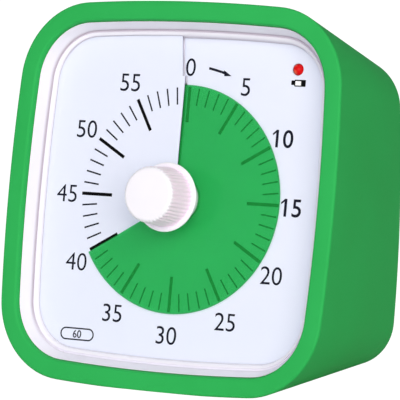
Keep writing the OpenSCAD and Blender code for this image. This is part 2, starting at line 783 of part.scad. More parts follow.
module drive_wheel() {
    hole_r = 1.6;
    hole_at = drive_teeth * drive_module / 2 - 4.2;
    color([0.95, 0.85, 0.4]) stand() difference() {
        union() {
            along(layer_a, layer_a + wheel_t) wheel_outline(drive_teeth, drive_module, third_way);
            rod(shaft_r + 1.8, plate_in + 0.1, layer_a + wheel_t);
        }
        rod(shaft_r + run_gap, plate_in - 1, layer_a + wheel_t + 1);
        for (a = [0:60:300]) at(polar(hole_at, a)) rod(hole_r, layer_a - 1, layer_a + wheel_t + 1);
    }
}

module third_wheel() {
    color([0.9, 0.9, 0.88]) stand() at(third_at) union() {
        along(layer_b, layer_b + wheel_t) wheel_outline(third_teeth, third_module, second_way);
        along(plate_in + 0.3, layer_b + eps) pinion_outline(drive_module, third_way);
        arbor();
    }
}

module second_wheel() {
    color([0.9, 0.9, 0.88]) stand() at(second_at) union() {
        along(layer_c, layer_c + wheel_t) wheel_outline(second_teeth, second_module, rotor_way);
        along(layer_b - 0.4, layer_c + eps) pinion_outline(third_module, second_way);
        arbor();
    }
}

module rotor_pinion() {
    color([0.92, 0.92, 0.9]) stand() at(rotor_at) union() {
        along(layer_c - 0.4, layer_d - 0.2) pinion_outline(second_module, rotor_way);
        rod(1.2, layer_d - 0.6, layer_d);
        arbor();
    }
}

module rotor_magnet() {
    color([0.35, 0.35, 0.38]) stand() at(rotor_at) difference() {
        rod(magnet_r, layer_d, layer_d + 2.2);
        rod(pivot_r + press_gap, layer_d - 1, layer_d + 3);
    }
}

module stator() {
    x = rotor_at[0];
    z = rotor_at[1];
    bore_r = magnet_r + 0.5;
    notch_r = 0.5;
    arm_x = x + pole_half - arm_w;
    arm_end = core_x + core_half + 0.6;
    color([0.6, 0.6, 0.62]) stand() along(stator_y, stator_y + stator_t) difference() {
        union() {
            translate([x - pole_half, z - pole_half]) square(2 * pole_half);
            translate([x, z - pole_half]) square([arm_end - x, arm_w]);
            translate([arm_x, z]) square([arm_w, core_high - z]);
            translate([arm_x, core_high - arm_w]) square([arm_end - arm_x, arm_w]);
        }
        translate([x, z]) circle(bore_r);
        for (s = [-1, 1]) translate([x + s * bore_r, z + s * notch_r]) circle(notch_r);
    }
}

module coil_core() {
    color([0.58, 0.58, 0.6]) stand() along(stator_y - core_t, stator_y)
        translate([core_x - core_half, core_low]) square([2 * core_half, core_high - core_low]);
}

module box_about(half, z0, z1) {
    block([-half[0], -half[1], z0], [half[0], half[1], z1]);
}

module coil_bobbin() {
    color([0.2, 0.2, 0.22]) stand() translate([core_x, bobbin_y, 0]) difference() {
        union() {
            box_about(bobbin_half, bobbin_low, bobbin_high);
            for (z = [bobbin_low, bobbin_high - flange_t]) box_about(flange_half, z, z + flange_t);
        }
        box_about([core_half + 0.1, core_t / 2 + 0.1], bobbin_low - 1, bobbin_high + 1);
    }
}

module coil_winding() {
    inner_gap = [0.05, 0.05];
    low = bobbin_low + flange_t + inner_gap[0];
    high = bobbin_high - flange_t - inner_gap[0];
    color([0.75, 0.4, 0.2]) stand() translate([core_x, bobbin_y, 0]) difference() {
        box_about(flange_half - [0.4, 0.4], low, high);
        box_about(bobbin_half + inner_gap, low - 1, high + 1);
    }
}

// ---- Board, light and sound ----

module circuit_board() {
    color([0.1, 0.4, 0.2]) stand() difference() {
        along(board_front, board_back) translate([-board_hx, board_low])
            square([2 * board_hx + 1, board_high - board_low]);
        for (p = post_spots) at([p[0], p[1] + rear_z])
            rod(post_r + 0.5, board_front - 1, board_back + 1);
        for (x = [-board_screw_x, board_screw_x]) at([x, board_screw_z])
            rod(small_screw_r + screw_gap, board_front - 1, board_back + 1);
        for (s = [-1, 1]) at([led_x + s * led_wire_x, led_z])
            rod(led_wire_r + press_gap, board_front - 1, board_back + 1);
    }
}

module board_screws() {
    color([0.7, 0.7, 0.72]) stand() for (x = [-board_screw_x, board_screw_x])
        at([x, board_screw_z])
            screw(small_screw_r, small_screw_r * head_share, 1, plate_back - 0.2, board_back);
}

module low_battery_led() {
    brim = 0.25;
    leg_end = board_back + 0.8;
    color([0.86, 0.08, 0.08]) stand() at([led_x, led_z]) union() {
        rod(led_r, led_tip + led_r, led_base);
        translate([0, led_tip + led_r, 0]) rotate([90, 0, 0]) rotate_extrude()
            intersection() {
                circle(led_r);
                square([led_r, led_r]);
            }
        rod(led_r + brim, led_base - 1, led_base);
        for (s = [-1, 1]) at([s * led_wire_x, 0]) rod(led_wire_r, led_base - eps, leg_end);
    }
}

module control_chip() {
    body = [6, 1.5, 4];
    leg = [0.4, 0.7, 6];
    leg_pitch = 1.2;
    stand_off = 0.15;
    color([0.12, 0.12, 0.13]) stand() translate([0, board_back, board_low + 9]) union() {
        block([-body[0] / 2, stand_off, -body[2] / 2], [body[0] / 2, stand_off + body[1], body[2] / 2]);
        for (i = [-2:2]) translate([i * leg_pitch, 0, 0])
            block([-leg[0] / 2, 0, -leg[2] / 2], [leg[0] / 2, leg[1], leg[2] / 2]);
    }
}

module quartz_crystal() {
    can_r = 1.5;
    can_l = 7.5;
    color([0.78, 0.78, 0.8]) stand() translate([17, board_back + can_r, board_low + 8]) rotate([0, 90, 0])
        cylinder(r = can_r, h = can_l, center = true);
}

module capacitor() {
    can_r = 2.5;
    can_l = 7;
    color([0.15, 0.2, 0.45]) stand() at([-17, board_low + 8]) rod(can_r, board_back, board_back + can_l);
}

module speaker_frame() {
    rim_t = 1.2;
    vent_r = 1.8;
    vent_at = 7.2;
    frame_in = cone_r + 0.2;
    color([0.25, 0.25, 0.27]) on_rear(speaker_x, speaker_z) difference() {
        union() {
            rod(speaker_r, speaker_y - rim_t, speaker_y);
            rod(frame_in + frame_wall, speaker_y - frame_d, speaker_y);
        }
        rod(frame_in, speaker_y - frame_d + frame_wall, speaker_y + 1);
        rod(pole_r + 1.6, speaker_y - frame_d - 1, speaker_y);
        for (a = [45:90:315]) at(polar(vent_at, a))
            rod(vent_r, speaker_y - frame_d - 1, speaker_y - frame_d + 2);
    }
}

module speaker_magnet() {
    color([0.5, 0.5, 0.52]) on_rear(speaker_x, speaker_z) union() {
        rod(speaker_magnet_r, speaker_y - frame_d - speaker_magnet_t, speaker_y - frame_d);
        rod(pole_r, speaker_y - frame_d - eps, speaker_y - frame_d + 2.4);
    }
}

module speaker_cone() {
    paper = 0.3;
    rim_w = 1.6;
    front = 0.5;
    deep = 1.7;
    coil_in = pole_r + 0.4;
    coil_out = coil_in + 0.4;
    coil_end = deep + 1.7;
    color([0.18, 0.18, 0.2]) on_rear(speaker_x, speaker_z) translate([0, speaker_y, 0]) rotate([90, 0, 0])
        rotate_extrude() polygon([[0, deep - 0.2], [coil_in, deep], [cone_r - rim_w, front], [cone_r, front],
            [cone_r, front + paper], [cone_r - rim_w, front + paper], [coil_out, deep + paper],
            [coil_out, coil_end], [coil_in, coil_end], [coil_in, deep + paper], [0, deep + paper - 0.2]]);
}

module volume_switch() {
    hx = slot_half[0] + 1.3;
    hz = slot_half[1] + 1;
    color([0.15, 0.15, 0.16]) on_rear(switch_x, switch_z) difference() {
        block([-hx, switch_y - 4, -hz], [hx, switch_y, hz]);
        block([-slot_half[0], slider_back - 0.2, -slot_half[1]], [slot_half[0], 0, slot_half[1]]);
    }
}

module volume_slider() {
    tab_h = 1;
    rib_half = 0.25;
    rib_h = 0.35;
    color([0.2, 0.2, 0.22]) on_rear(switch_x, switch_z) union() {
        block([-slider_half[0], slider_back, -slider_half[1]], [slider_half[0], tab_h, slider_half[1]]);
        for (x = [-1, 0, 1]) block([x - rib_half, tab_h - eps, -slider_half[1]],
            [x + rib_half, tab_h + rib_h, slider_half[1]]);
    }
}

// ---- Power ----

module battery_cell() {
    color([0.75, 0.6, 0.3]) on_rear() translate([cell_x0, cell_y, bay_z]) rotate([0, 90, 0]) union() {
        cylinder(r = cell_r, h = cell_l);
        translate([0, 0, cell_l - eps]) cylinder(r = nub_r, h = nub_l + eps);
    }
}

// A round wire through a list of points, with flat ends
function unit(v) = v / norm(v);
function wire_points(path, r, sides) =
    [for (i = [0:len(path) - 1]) let (
            t = unit(path[min(i + 1, len(path) - 1)] - path[max(i - 1, 0)]),
            u = unit(cross(t, [0.31, 0.2, 0.93])), v = cross(t, u))
        for (j = [0:sides - 1]) let (a = 360 * j / sides) path[i] + r * (u * cos(a) + v * sin(a))];
function wire_faces(n, sides) = concat(
    [[for (j = [sides - 1:-1:0]) j], [for (j = [0:sides - 1]) (n - 1) * sides + j]],
    [for (i = [0:n - 2]) for (j = [0:sides - 1])
        let (a = i * sides + j, b = i * sides + (j + 1) % sides)
        each [[a, b, b + sides], [a, b + sides, a + sides]]]);
module wire(path, r, sides = 8) {
    polyhedron(wire_points(path, r, sides), [for (f = wire_faces(len(path), sides))
        [for (k = [len(f) - 1:-1:0]) f[k]]], convexity = 10);
}
function bezier(p, t) = pow(1 - t, 3) * p[0] + 3 * t * pow(1 - t, 2) * p[1]
    + 3 * t * t * (1 - t) * p[2] + t * t * t * p[3];
function bend(p) = [for (i = [0:16]) bezier(p, i / 16)];

module contact(x) {
    block([x, bay_front + 1, bay_z - contact_half], [x + contact_t, -door_t - 2, bay_z + contact_half]);
}

module battery_spring() {
    turns = 4;
    steps = 14 * turns;
    wire_r = 0.35;
    base_r = 4.6;
    tip_r = 2.6;
    free = spring_room - 2 * seat_gap;
    coil = [for (i = [0:steps]) let (t = i / steps, r = lerp(base_r, tip_r, t), a = 360 * turns * t)
        [bay_x0 + contact_t + seat_gap + free * t, cell_y + r * cos(a), bay_z + r * sin(a)]];
    color([0.8, 0.8, 0.82]) on_rear() union() {
        wire(coil, wire_r, 6);
        contact(bay_x0 + run_gap);
    }
}

module battery_contact() {
    color([0.85, 0.7, 0.35]) on_rear() contact(bay_x1 - contact_t - run_gap);
}

module case_screws() {
    color([0.7, 0.7, 0.72]) for (p = post_spots) stand() at([p[0], p[1] + rear_z])
        screw(case_screw_r, head_r, head_h, boss_y(p) - screw_l, boss_y(p) + head_seat);
}

module battery_leads() {
    solder = board_back + 0.1;
    pad_x = 4;
    pad_z = board_low + 3;
    away = movement_back + 10;
    beside = board_back + 10.4;
    end_y = away + 3;
    end_z = bay_z + 8.4;
    right = [[pad_x, solder, pad_z], [pad_x, away, pad_z],
        [bay_x1 + 5.7, beside, end_z + 19], [bay_x1 + 3.5, end_y, end_z]];
    left = [[-pad_x, solder, pad_z], [-pad_x, away, pad_z],
        [bay_x0 - 6.4, beside, end_z + 19], [bay_x0 - 2.2, end_y, end_z]];
    color([0.7, 0.1, 0.1]) stand() wire(bend(right), 0.6);
    color([0.1, 0.1, 0.1]) stand() wire(bend(left), 0.6);
}

module speaker_leads() {
    solder = board_back + 0.1;
    pad_z = board_low + 3;
    end_z = speaker_z + 1.5;
    end_gap = 3.5;
    end_y = cover_y(end_z) - seat_gap - frame_d - speaker_magnet_t - end_gap;
    run = [board_back + 13.4, movement_back + 8];
    color([0.2, 0.2, 0.6]) stand() for (x = [speaker_x - 8, speaker_x - 5])
        wire(bend([[x, solder, pad_z], [x, run[0], pad_z], [x, run[1], pad_z - 5],
            [x + 4, end_y, end_z]]), 0.5);
}

silicone_case();
front_shell();
rear_cover();
dial_plate();
dial_sheet();
time_disc();
disc_hub();
knob();
knob_shaft();
shaft_bush();
clutch_spring();
shaft_clip();
movement_front_plate();
movement_rear_cover();
movement_screws();
stator();
coil_bobbin();
coil_core();
coil_winding();
rotor_magnet();
rotor_pinion();
second_wheel();
third_wheel();
drive_wheel();
circuit_board();
control_chip();
quartz_crystal();
capacitor();
low_battery_led();
board_screws();
speaker_frame();
speaker_magnet();
speaker_cone();
volume_switch();
volume_slider();
battery_cell();
battery_spring();
battery_contact();
battery_door();
case_screws();
battery_leads();
speaker_leads();
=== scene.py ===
import json
from math import atan2, cos, degrees, hypot, pi, radians, sin, sqrt, tan
import bmesh
import bpy
from mathutils import Matrix, Vector


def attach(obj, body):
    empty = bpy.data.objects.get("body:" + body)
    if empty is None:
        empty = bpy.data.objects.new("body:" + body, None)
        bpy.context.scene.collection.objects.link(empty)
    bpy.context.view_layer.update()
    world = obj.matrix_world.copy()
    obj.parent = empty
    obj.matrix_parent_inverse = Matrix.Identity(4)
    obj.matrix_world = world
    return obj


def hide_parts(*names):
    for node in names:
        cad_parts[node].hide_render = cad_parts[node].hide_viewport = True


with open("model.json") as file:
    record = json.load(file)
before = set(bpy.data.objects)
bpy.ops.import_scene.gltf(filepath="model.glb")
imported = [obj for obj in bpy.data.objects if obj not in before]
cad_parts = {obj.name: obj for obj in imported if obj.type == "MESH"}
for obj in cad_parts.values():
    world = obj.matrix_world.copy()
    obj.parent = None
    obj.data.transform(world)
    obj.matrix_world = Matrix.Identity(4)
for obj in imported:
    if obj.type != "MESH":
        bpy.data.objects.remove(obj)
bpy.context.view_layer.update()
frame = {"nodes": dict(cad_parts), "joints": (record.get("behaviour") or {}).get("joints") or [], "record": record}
print("timer: the packed frame is in")


# the case's driving sizes, in millimetres seen square to the dial
case = {
    "width": 94.98, "height": 98.7, "depth": 55.5,  # across, up its slope, front rim to rear
    "rearWidth": 78.6, "rearHeight": 79.6, "rearRise": 1.5, "lift": 0.3,
    "rearSlope": 7.35, "frontBow": 2.4, "rearBow": 1.7,
    "frontCorner": 20, "rearCorner": 11.8,
    "sideSteps": 24, "cornerSteps": 22,          # how finely a quarter of the outline is cut
    "rearLipThick": 1.8, "coverThick": 2.2, "seatGap": 0.3,
}
knobTurn = next(j for j in frame["joints"] if j["name"] == "knob_turn")
shaftPoint = Vector(knobTurn["pos_m"])
lean = atan2(-knobTurn["axis"][2], knobTurn["axis"][1])
standHeight = shaftPoint.z * 1000
rearK = tan(radians(case["rearSlope"]))
rearMiddle = case["lift"] + case["rearRise"]
# from those millimetres to the frame's metres
toFrame = (Matrix.Translation(shaftPoint) @ Matrix.Rotation(-lean, 4, "X")
           @ Matrix.Scale(0.001, 4))
coverBack = case["rearLipThick"] + case["seatGap"]


class Flow:
    # a node's socket that takes part in arithmetic; each operation adds its Math node
    def __init__(self, finish, socket):
        self.finish, self.socket = finish, socket

    def maths(self, operation, *values):
        return self.finish.add("ShaderNodeMath", {"operation": operation}, values)

    def __add__(self, other):
        return self.maths("ADD", self, other)

    def __radd__(self, other):
        return self.maths("ADD", other, self)

    def __sub__(self, other):
        return self.maths("SUBTRACT", self, other)

    def __rsub__(self, other):
        return self.maths("SUBTRACT", other, self)

    def __mul__(self, other):
        return self.maths("MULTIPLY", self, other)

    def __rmul__(self, other):
        return self.maths("MULTIPLY", other, self)

    def __gt__(self, other):
        return self.maths("GREATER_THAN", self, other)

    def __lt__(self, other):
        return self.maths("LESS_THAN", self, other)


class NodeMaker:
    # makes and links the nodes of one material or of the world
    def __init__(self, tree):
        self.tree = tree

    def feed(self, socket, value):
        if isinstance(value, Flow):
            self.tree.links.new(value.socket, socket)
        else:
            socket.default_value = value

    def add(self, kind, settings=None, values=(), outlet=0):
        node = self.tree.nodes.new(kind)
        for label, value in (settings or {}).items():
            setattr(node, label, value)
        pairs = values.items() if isinstance(values, dict) else enumerate(values)
        for label, value in pairs:
            self.feed(node.inputs[label], value)
        return Flow(self, node.outputs[outlet])

    def coords(self, turn=(0, 0, 0), stretch=(1, 1, 1)):
        place = self.add("ShaderNodeTexCoord", outlet="Object")
        if turn == (0, 0, 0) and stretch == (1, 1, 1):
            return place
        return self.add("ShaderNodeMapping", {"vector_type": "POINT"},
                        {"Vector": place, "Rotation": turn, "Scale": stretch})

    def across(self):
        # how far to the right a point lies, in metres
        return self.add("ShaderNodeSeparateXYZ", None, [self.coords()])

    def paintedShade(self):
        # the share of painted shade that a piece carries point by point
        return self.add("ShaderNodeAttribute", {"attribute_name": "paintedShade"}, outlet="Fac")

    def noise(self, size, detail=2, rough=0.5, place=None, skew=0):
        # size is the width of a speck in millimetres
        return self.add("ShaderNodeTexNoise", None, {
            "Vector": place or self.coords(), "Scale": 1000 / size, "Detail": detail,
            "Roughness": rough, "Distortion": skew})

    def spread(self, value, low, high, start=0.0, end=1.0):
        return self.add("ShaderNodeMapRange", {"clamp": True},
                        [value, start, end, low, high])

    def mix(self, mask, first, second):
        return self.add("ShaderNodeMix", {"data_type": "RGBA"}, {0: mask, 6: first, 7: second},
                        outlet=2)

    def bump(self, height, depth, strength=1.0):
        # depth is in millimetres
        return self.add("ShaderNodeBump", None,
                        {"Height": height, "Distance": depth / 1000, "Strength": strength})

    def whiteRays(self):
        # 1 for what the camera sees, straight or through something clear
        return self.add("ShaderNodeMath", {"operation": "MAXIMUM"},
                        [self.add("ShaderNodeLightPath", outlet=kind)
                         for kind in ("Is Camera Ray", "Is Transmission Ray")])


class Finish(NodeMaker):
    # one Principled material; plain numbers go on the shader's own sockets
    def __init__(self, name, **plain):
        self.material = bpy.data.materials.new(name)
        self.material.use_nodes = True
        super().__init__(self.material.node_tree)
        self.shader = self.tree.nodes["Principled BSDF"]
        self.outlet = self.tree.nodes["Material Output"]
        for label, value in plain.items():
            self.shader.inputs[label.replace("_", " ")].default_value = value

    def set(self, **links):
        for label, value in links.items():
            self.feed(self.shader.inputs[label.replace("_", " ")], value)

    def blend(self, share, other):
        # the surface is the other shader, with that share of the Principled one over it
        own = Flow(self, self.shader.outputs[0])
        self.feed(self.outlet.inputs["Surface"],
                  self.add("ShaderNodeMixShader", None, [share, other, own]))


def linear(red, green, blue):
    # a colour as it is seen, 0 to 255, as the light value that Blender wants
    return tuple(c / 12.92 if c <= 0.04045 else ((c + 0.055) / 1.055) ** 2.4
                 for c in (red / 255, green / 255, blue / 255)) + (1.0,)


def moulded(name, colour, rough=0.45, grain=0.12, depth=0.01, drift=0.04, paintedShade=None, **plain):
    # moulded plastic or rubber: fine tool texture, slow drift in tone and in gloss; the painted shade's colour
    # shows where a piece carries that attribute
    made = Finish(name, **plain)
    shade = tuple(c * (1 - drift) for c in colour[:3]) + (1,)
    slow = made.spread(made.noise(14, 3), 0, 1, 0.35, 0.65)
    fine = made.noise(grain, 2, 0.6)
    tone = made.mix(slow * 0.7 + fine * 0.3, colour, shade)
    if paintedShade:
        tone = made.mix(made.paintedShade(), tone, paintedShade)
    made.set(Base_Color=tone, Roughness=made.spread(fine, rough - 0.05, rough + 0.06, 0.3, 0.7),
             Normal=made.bump(fine, depth))
    return made


def metal(name, colour, rough=0.3, grain=0.08, depth=0.004, along=(1, 12, 12)):
    # drawn or stamped metal: fine lines one way, a little staining
    made = Finish(name, Metallic=1.0)
    lines = made.noise(grain * 12, 3, 0.6, made.coords(stretch=along))
    stain = made.spread(made.noise(2.5, 3), 0, 1, 0.45, 0.75)
    dull = tuple(c * 0.8 for c in colour[:3]) + (1,)
    made.set(Base_Color=made.mix(stain, colour, dull),
             Roughness=made.spread(lines, rough - 0.07, rough + 0.1, 0.3, 0.7) + stain * 0.08,
             Normal=made.bump(lines, depth))
    return made


# the finishes' main colours
colours = {
    "sleeve": linear(48, 176, 88), "white": linear(243, 242, 254), "dial": linear(230, 236, 254),
    "knob": linear(247, 246, 255), "ink": linear(24, 26, 42), "black": linear(6, 6, 9),
    # after the lamp's red come four colours of painted shade: for the bezel's groove and edge, the grip's sides,
    # the disc's cut edge and the dial's slit edges
    "led": linear(214, 4, 8), "paintedShade": linear(192, 182, 198), "flutes": linear(255, 232, 253),
    "rim": linear(14, 136, 56), "slitShade": linear(56, 44, 92),
}


def sleeveFinish():
    # soft matte silicone: a fine moulded grain and slight clouds
    made = Finish("sleeveSilicone", IOR=1.4, Specular_IOR_Level=0.1)
    deep = linear(42, 168, 80)
    pale = linear(70, 188, 108)
    clouds = made.spread(made.noise(22, 3, 0.5), 0, 1, 0.38, 0.66)
    grain = made.noise(0.16, 2, 0.6)
    flecks = made.spread(made.noise(0.5, 1), 0, 1, 0.72, 0.78)    # a few specks of lint
    tone = made.mix(clouds * 0.5, colours["sleeve"], deep)
    tone = made.mix(flecks * 0.2, tone, pale)
    made.set(Base_Color=tone, Roughness=made.spread(grain, 0.52, 0.66, 0.3, 0.7) - clouds * 0.04,
             Normal=made.bump(grain, 0.012, 0.8))
    return made


def filmFinish():
    # the time disc's dyed film: a third is its own colour, the rest lets light through tinted
    made = Finish("discFilm", IOR=1.45)
    haze = made.spread(made.noise(9, 3), 0, 1, 0.35, 0.65)
    grain = made.noise(0.3, 2)
    dye = made.mix(haze, linear(26, 185, 78), linear(24, 181, 76))
    # painted shade along the film's cut edge
    made.set(Base_Color=made.mix(made.paintedShade(), dye, colours["rim"]),
             Roughness=made.spread(grain, 0.3, 0.38, 0.3, 0.7), Normal=made.bump(grain, 0.002))
    made.blend(0.34, made.add("ShaderNodeBsdfTransparent", None, [(0.58, 0.97, 0.75, 1)]))
    return made


# painted highlights: paler spots where the lamp's cup glints inside
paintedGlints = {"depth": 6.4, "tone": linear(255, 132, 92),
          "spots": [(30.35, 33.4, 0.75, 0.75), (30.4, 34.75, 0.6, 0.3)]}  # x, z, size, strength


def lampFinish():
    # the warning light's cast red epoxy, with painted shade deepening its rim and painted highlights of its cup
    # glinting inside
    made = Finish("lampEpoxy", IOR=1.5, Specular_IOR_Level=0.15)
    edge = made.add("ShaderNodeLayerWeight", None, [0.35], outlet="Facing")
    swirl = made.noise(0.7, 2)
    # painted shade: the dome turns deep red towards its rim, as it turns from the view
    cast = made.mix(made.spread(edge, 0, 1, 0.35, 0.9), colours["led"], linear(90, 0, 4))
    for x, z, size, share in paintedGlints["spots"]:
        spot = toFrame @ Vector((x, paintedGlints["depth"], z))
        away = made.add("ShaderNodeVectorMath", {"operation": "DISTANCE"},
                        [made.coords(), tuple(spot)], outlet="Value")
        cast = made.mix(made.spread(away, share, 0, 0, size / 1000), cast, paintedGlints["tone"])
    made.set(Base_Color=cast, Roughness=made.spread(swirl, 0.12, 0.2),
             Normal=made.bump(swirl, 0.01))
    return made


wrap = {"copperFrom": 0.012, "bareFrom": 0.0262}   # metres to the right of the middle


def wrapFinish():
    # the cell's plain wrap: a dark body, a copper-coloured end, bare metal past the film
    made = Finish("cellWrap")
    x = made.across()
    scuff = made.noise(1.2, 3)
    copper = x > wrap["copperFrom"]
    tip = x > wrap["bareFrom"]
    tone = made.mix(copper, linear(40, 40, 44), linear(186, 120, 62))
    tone = made.mix(tip, tone, linear(190, 190, 194))
    made.set(Base_Color=made.mix(made.spread(scuff, 0, 0.3, 0.5, 0.8), tone, linear(120, 112, 106)),
             Metallic=made.spread(copper + tip, 0.2, 0.9), Normal=made.bump(scuff, 0.005),
             Roughness=made.spread(scuff, 0.24, 0.4, 0.3, 0.7))
    return made


def boardFinish():
    # green solder mask with the copper's outline just showing under it
    made = Finish("boardLaminate", Coat_Weight=0.3, Coat_Roughness=0.2)
    tracks = made.add("ShaderNodeTexVoronoi", {"feature": "DISTANCE_TO_EDGE"},
                      {"Vector": made.coords(), "Scale": 260})
    lines = made.spread(tracks, 1, 0, 0.04, 0.09)
    made.set(Base_Color=made.mix(lines, linear(16, 84, 44), linear(34, 118, 62)),
             Roughness=made.spread(made.noise(0.6, 2), 0.3, 0.42, 0.3, 0.7),
             Normal=made.bump(lines, 0.03))
    return made


def windingFinish():
    # fine enamelled wire, wound in level turns
    made = Finish("windingWire", Metallic=0.9)
    turns = made.add("ShaderNodeTexWave", {"wave_type": "BANDS", "bands_direction": "Z"},
                     {"Vector": made.coords(turn=(lean, 0, 0)), "Scale": 900, "Distortion": 0.4,
                      "Detail": 1}, outlet="Fac")
    made.set(Base_Color=made.mix(turns, linear(110, 52, 26), linear(206, 122, 70)),
             Roughness=made.spread(turns, 0.5, 0.25), Normal=made.bump(turns, 0.05))
    return made


def paperFinish():
    # pressed paper with fibres
    made = Finish("conePaper")
    fibres = made.noise(0.35, 4, 0.7, skew=1.5)
    made.set(Base_Color=made.mix(fibres, linear(36, 36, 40), linear(66, 64, 66)),
             Roughness=made.spread(fibres, 0.8, 0.95), Normal=made.bump(fibres, 0.05))
    return made


def leadFinish():
    # one red and one black lead, told apart by the side that they run on
    made = Finish("leadPvc", IOR=1.5)
    scuff = made.noise(0.8, 2)
    tone = made.mix(made.across() > 0, linear(30, 30, 32), linear(186, 26, 28))
    made.set(Base_Color=made.mix(scuff * 0.2, tone, linear(90, 70, 70)),
             Roughness=made.spread(scuff, 0.35, 0.5, 0.3, 0.7), Normal=made.bump(scuff, 0.006))
    return made


finishes = {    # by the record's material slots
    "sleeve_silicone": sleeveFinish(),
    "white_abs": moulded("whiteShell", colours["white"], 0.42, 0.14, 0.008, 0.03,
                         colours["paintedShade"]),
    "dial_pvc": moulded("dialPvc", colours["dial"], 0.34, 0.3, 0.003, 0.015,
                        colours["slitShade"]),
    "disc_film": filmFinish(),
    "knob_plastic": moulded("knobPlastic", colours["knob"], 0.36, 0.12, 0.006, 0.03,
                            colours["flutes"]),
    "steel": metal("platedSteel", linear(198, 198, 202), 0.26),
    "dark_steel": metal("blackenedSteel", linear(92, 92, 96), 0.36),
    "brass": metal("turnedBrass", linear(214, 180, 108), 0.28),
    "movement_plastic": moulded("movementPlastic", linear(218, 218, 210), 0.48, 0.2, 0.01),
    "core_steel": metal("coreSteel", linear(150, 150, 156), 0.4),
    "black_plastic": moulded("blackPlastic", linear(34, 34, 37), 0.5, 0.16, 0.01),
    "copper_wire": windingFinish(),
    "magnet": moulded("sinteredMagnet", linear(84, 84, 88), 0.55, 0.1, 0.02, 0.2, Metallic=0.6),
    "gear_plastic": moulded("gearAcetal", linear(236, 236, 230), 0.3, 0.25, 0.004),
    "gear_yellow": moulded("gearYellow", linear(236, 212, 118), 0.3, 0.25, 0.004),
    "board_laminate": boardFinish(),
    "blue_film": moulded("capacitorFilm", linear(38, 52, 122), 0.25, 0.4, 0.003),
    "led_red": lampFinish(),
    "cone_paper": paperFinish(),
    "slider_plastic": moulded("sliderPlastic", linear(52, 52, 56), 0.5, 0.12, 0.012),
    "cell_can": wrapFinish(),
    "lead_pvc": leadFinish(),
}
inkFinish = moulded("dialInk", colours["ink"], 0.7, 0.2, 0.002, 0.1, Specular_IOR_Level=0.08)
tickFinish = moulded("tickInk", colours["black"], 0.7, 0.2, 0.002, 0.1,
                     Specular_IOR_Level=0.08)
windowFinish = moulded("windowInk", linear(252, 252, 254), 0.5, 0.2, 0.002, 0.02)
print("timer: finishes are mixed")

slotOf = {part["node"]: part["material_slot"] for part in frame["record"]["subparts"]}
for nodeName, cadObject in frame["nodes"].items():
    cadObject.data.materials.clear()
    cadObject.data.materials.append(finishes[slotOf[nodeName]].material)


def linked(name, data):
    # a new object in the scene
    made = bpy.data.objects.new(name, data)
    bpy.context.scene.collection.objects.link(made)
    return made


def fromBmesh(name, bm, place=toFrame, smooth=35, recalc=True):
    # a finished piece: normals out, sharp edges marked, its place in its mesh
    if recalc:
        bmesh.ops.recalc_face_normals(bm, faces=bm.faces[:])
    for face in bm.faces:
        face.smooth = True
    mesh = bpy.data.meshes.new(name)
    bm.to_mesh(mesh)
    bm.free()
    mesh.transform(place)
    mesh.set_sharp_from_angle(angle=radians(smooth))
    return linked(name, mesh)


def bevelled(piece, width, segments=3, angle=35):
    rim = piece.modifiers.new("edgeRounding", "BEVEL")
    rim.width, rim.segments, rim.limit_method = width / 1000, segments, "ANGLE"
    rim.angle_limit, rim.harden_normals, rim.profile = radians(angle), True, 0.5
    rim.use_clamp_overlap = True
    return piece


def cutBy(piece, *tools):
    # the tools' shapes are cut away for good
    for tool in tools:
        cut = piece.modifiers.new("cut", "BOOLEAN")
        cut.operation, cut.object, cut.solver = "DIFFERENCE", tool, "EXACT"
    seen = piece.evaluated_get(bpy.context.evaluated_depsgraph_get())
    mesh = bpy.data.meshes.new_from_object(seen)
    piece.modifiers.clear()
    piece.data = mesh
    for tool in tools:
        bpy.data.objects.remove(tool)


def dressed(piece, slotName, body, *nodes, finish=None):
    # a piece gets its finish, picked by its slot's name unless one is given, hides the nodes that it stands for,
    # and rides on its body
    piece.data.materials.clear()
    piece.data.materials.append((finish or finishes[slotName]).material)
    if nodes:
        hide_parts(*nodes)
    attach(piece, body)


def loft(rings, closed=False, creases=None):
    # a band through rings of points, drawn out from the first ring one ring at a time; creases gives a point's
    # share of painted shade, from its ring's number and its place
    bm = bmesh.new()
    spoke = bm.verts.layers.int.new("spoke")
    held = bm.verts.layers.float.new("paintedShade") if creases else None
    firstLoop = bmesh.ops.create_circle(bm, segments=len(rings[0]))["verts"]
    for i, (vert, point) in enumerate(zip(firstLoop, rings[0])):
        vert[spoke], vert.co = i, point
    edges = list(bm.edges)
    for number, ring in enumerate(rings[1:] + ([rings[0]] if closed else []), 1):
        drawn = bmesh.ops.extrude_edge_only(bm, edges=edges)["geom"]
        fresh = {g for g in drawn if isinstance(g, bmesh.types.BMVert)}
        for vert in fresh:
            vert.co = ring[vert[spoke]]
            if creases:
                vert[held] = creases(number, vert.co)
        edges = [g for g in drawn if isinstance(g, bmesh.types.BMEdge)
                 and g.verts[0] in fresh and g.verts[1] in fresh]
    if closed:
        bmesh.ops.remove_doubles(bm, verts=bm.verts[:], dist=1e-4)
    return bm


def thickened(bm, faces, thick):
    # flat faces drawn backwards into a closed slab
    drawn = bmesh.ops.extrude_face_region(bm, geom=faces)["geom"]
    bmesh.ops.translate(bm, verts=[g for g in drawn if isinstance(g, bmesh.types.BMVert)],
                        vec=(0, thick, 0))


def turned(profile, steps):
    # a profile of [radius, depth] spun about the knob's axis
    bm = bmesh.new()
    verts = [bm.verts.new((radius, depth, 0)) for radius, depth in profile]
    edges = [bm.edges.new(pair) for pair in zip(verts, verts[1:])]
    bmesh.ops.spin(bm, geom=verts + edges, cent=(0, 0, 0), axis=(0, 1, 0), angle=2 * pi,
                   steps=steps, use_merge=True)
    bmesh.ops.remove_doubles(bm, verts=bm.verts[:], dist=1e-4)
    return bm


def quarterRound(radius, start, end, steps=8):
    turns = [radians(start + (end - start) * i / steps) for i in range(steps + 1)]
    return [(radius * (1 - cos(a)), radius * (1 - sin(a))) for a in turns]


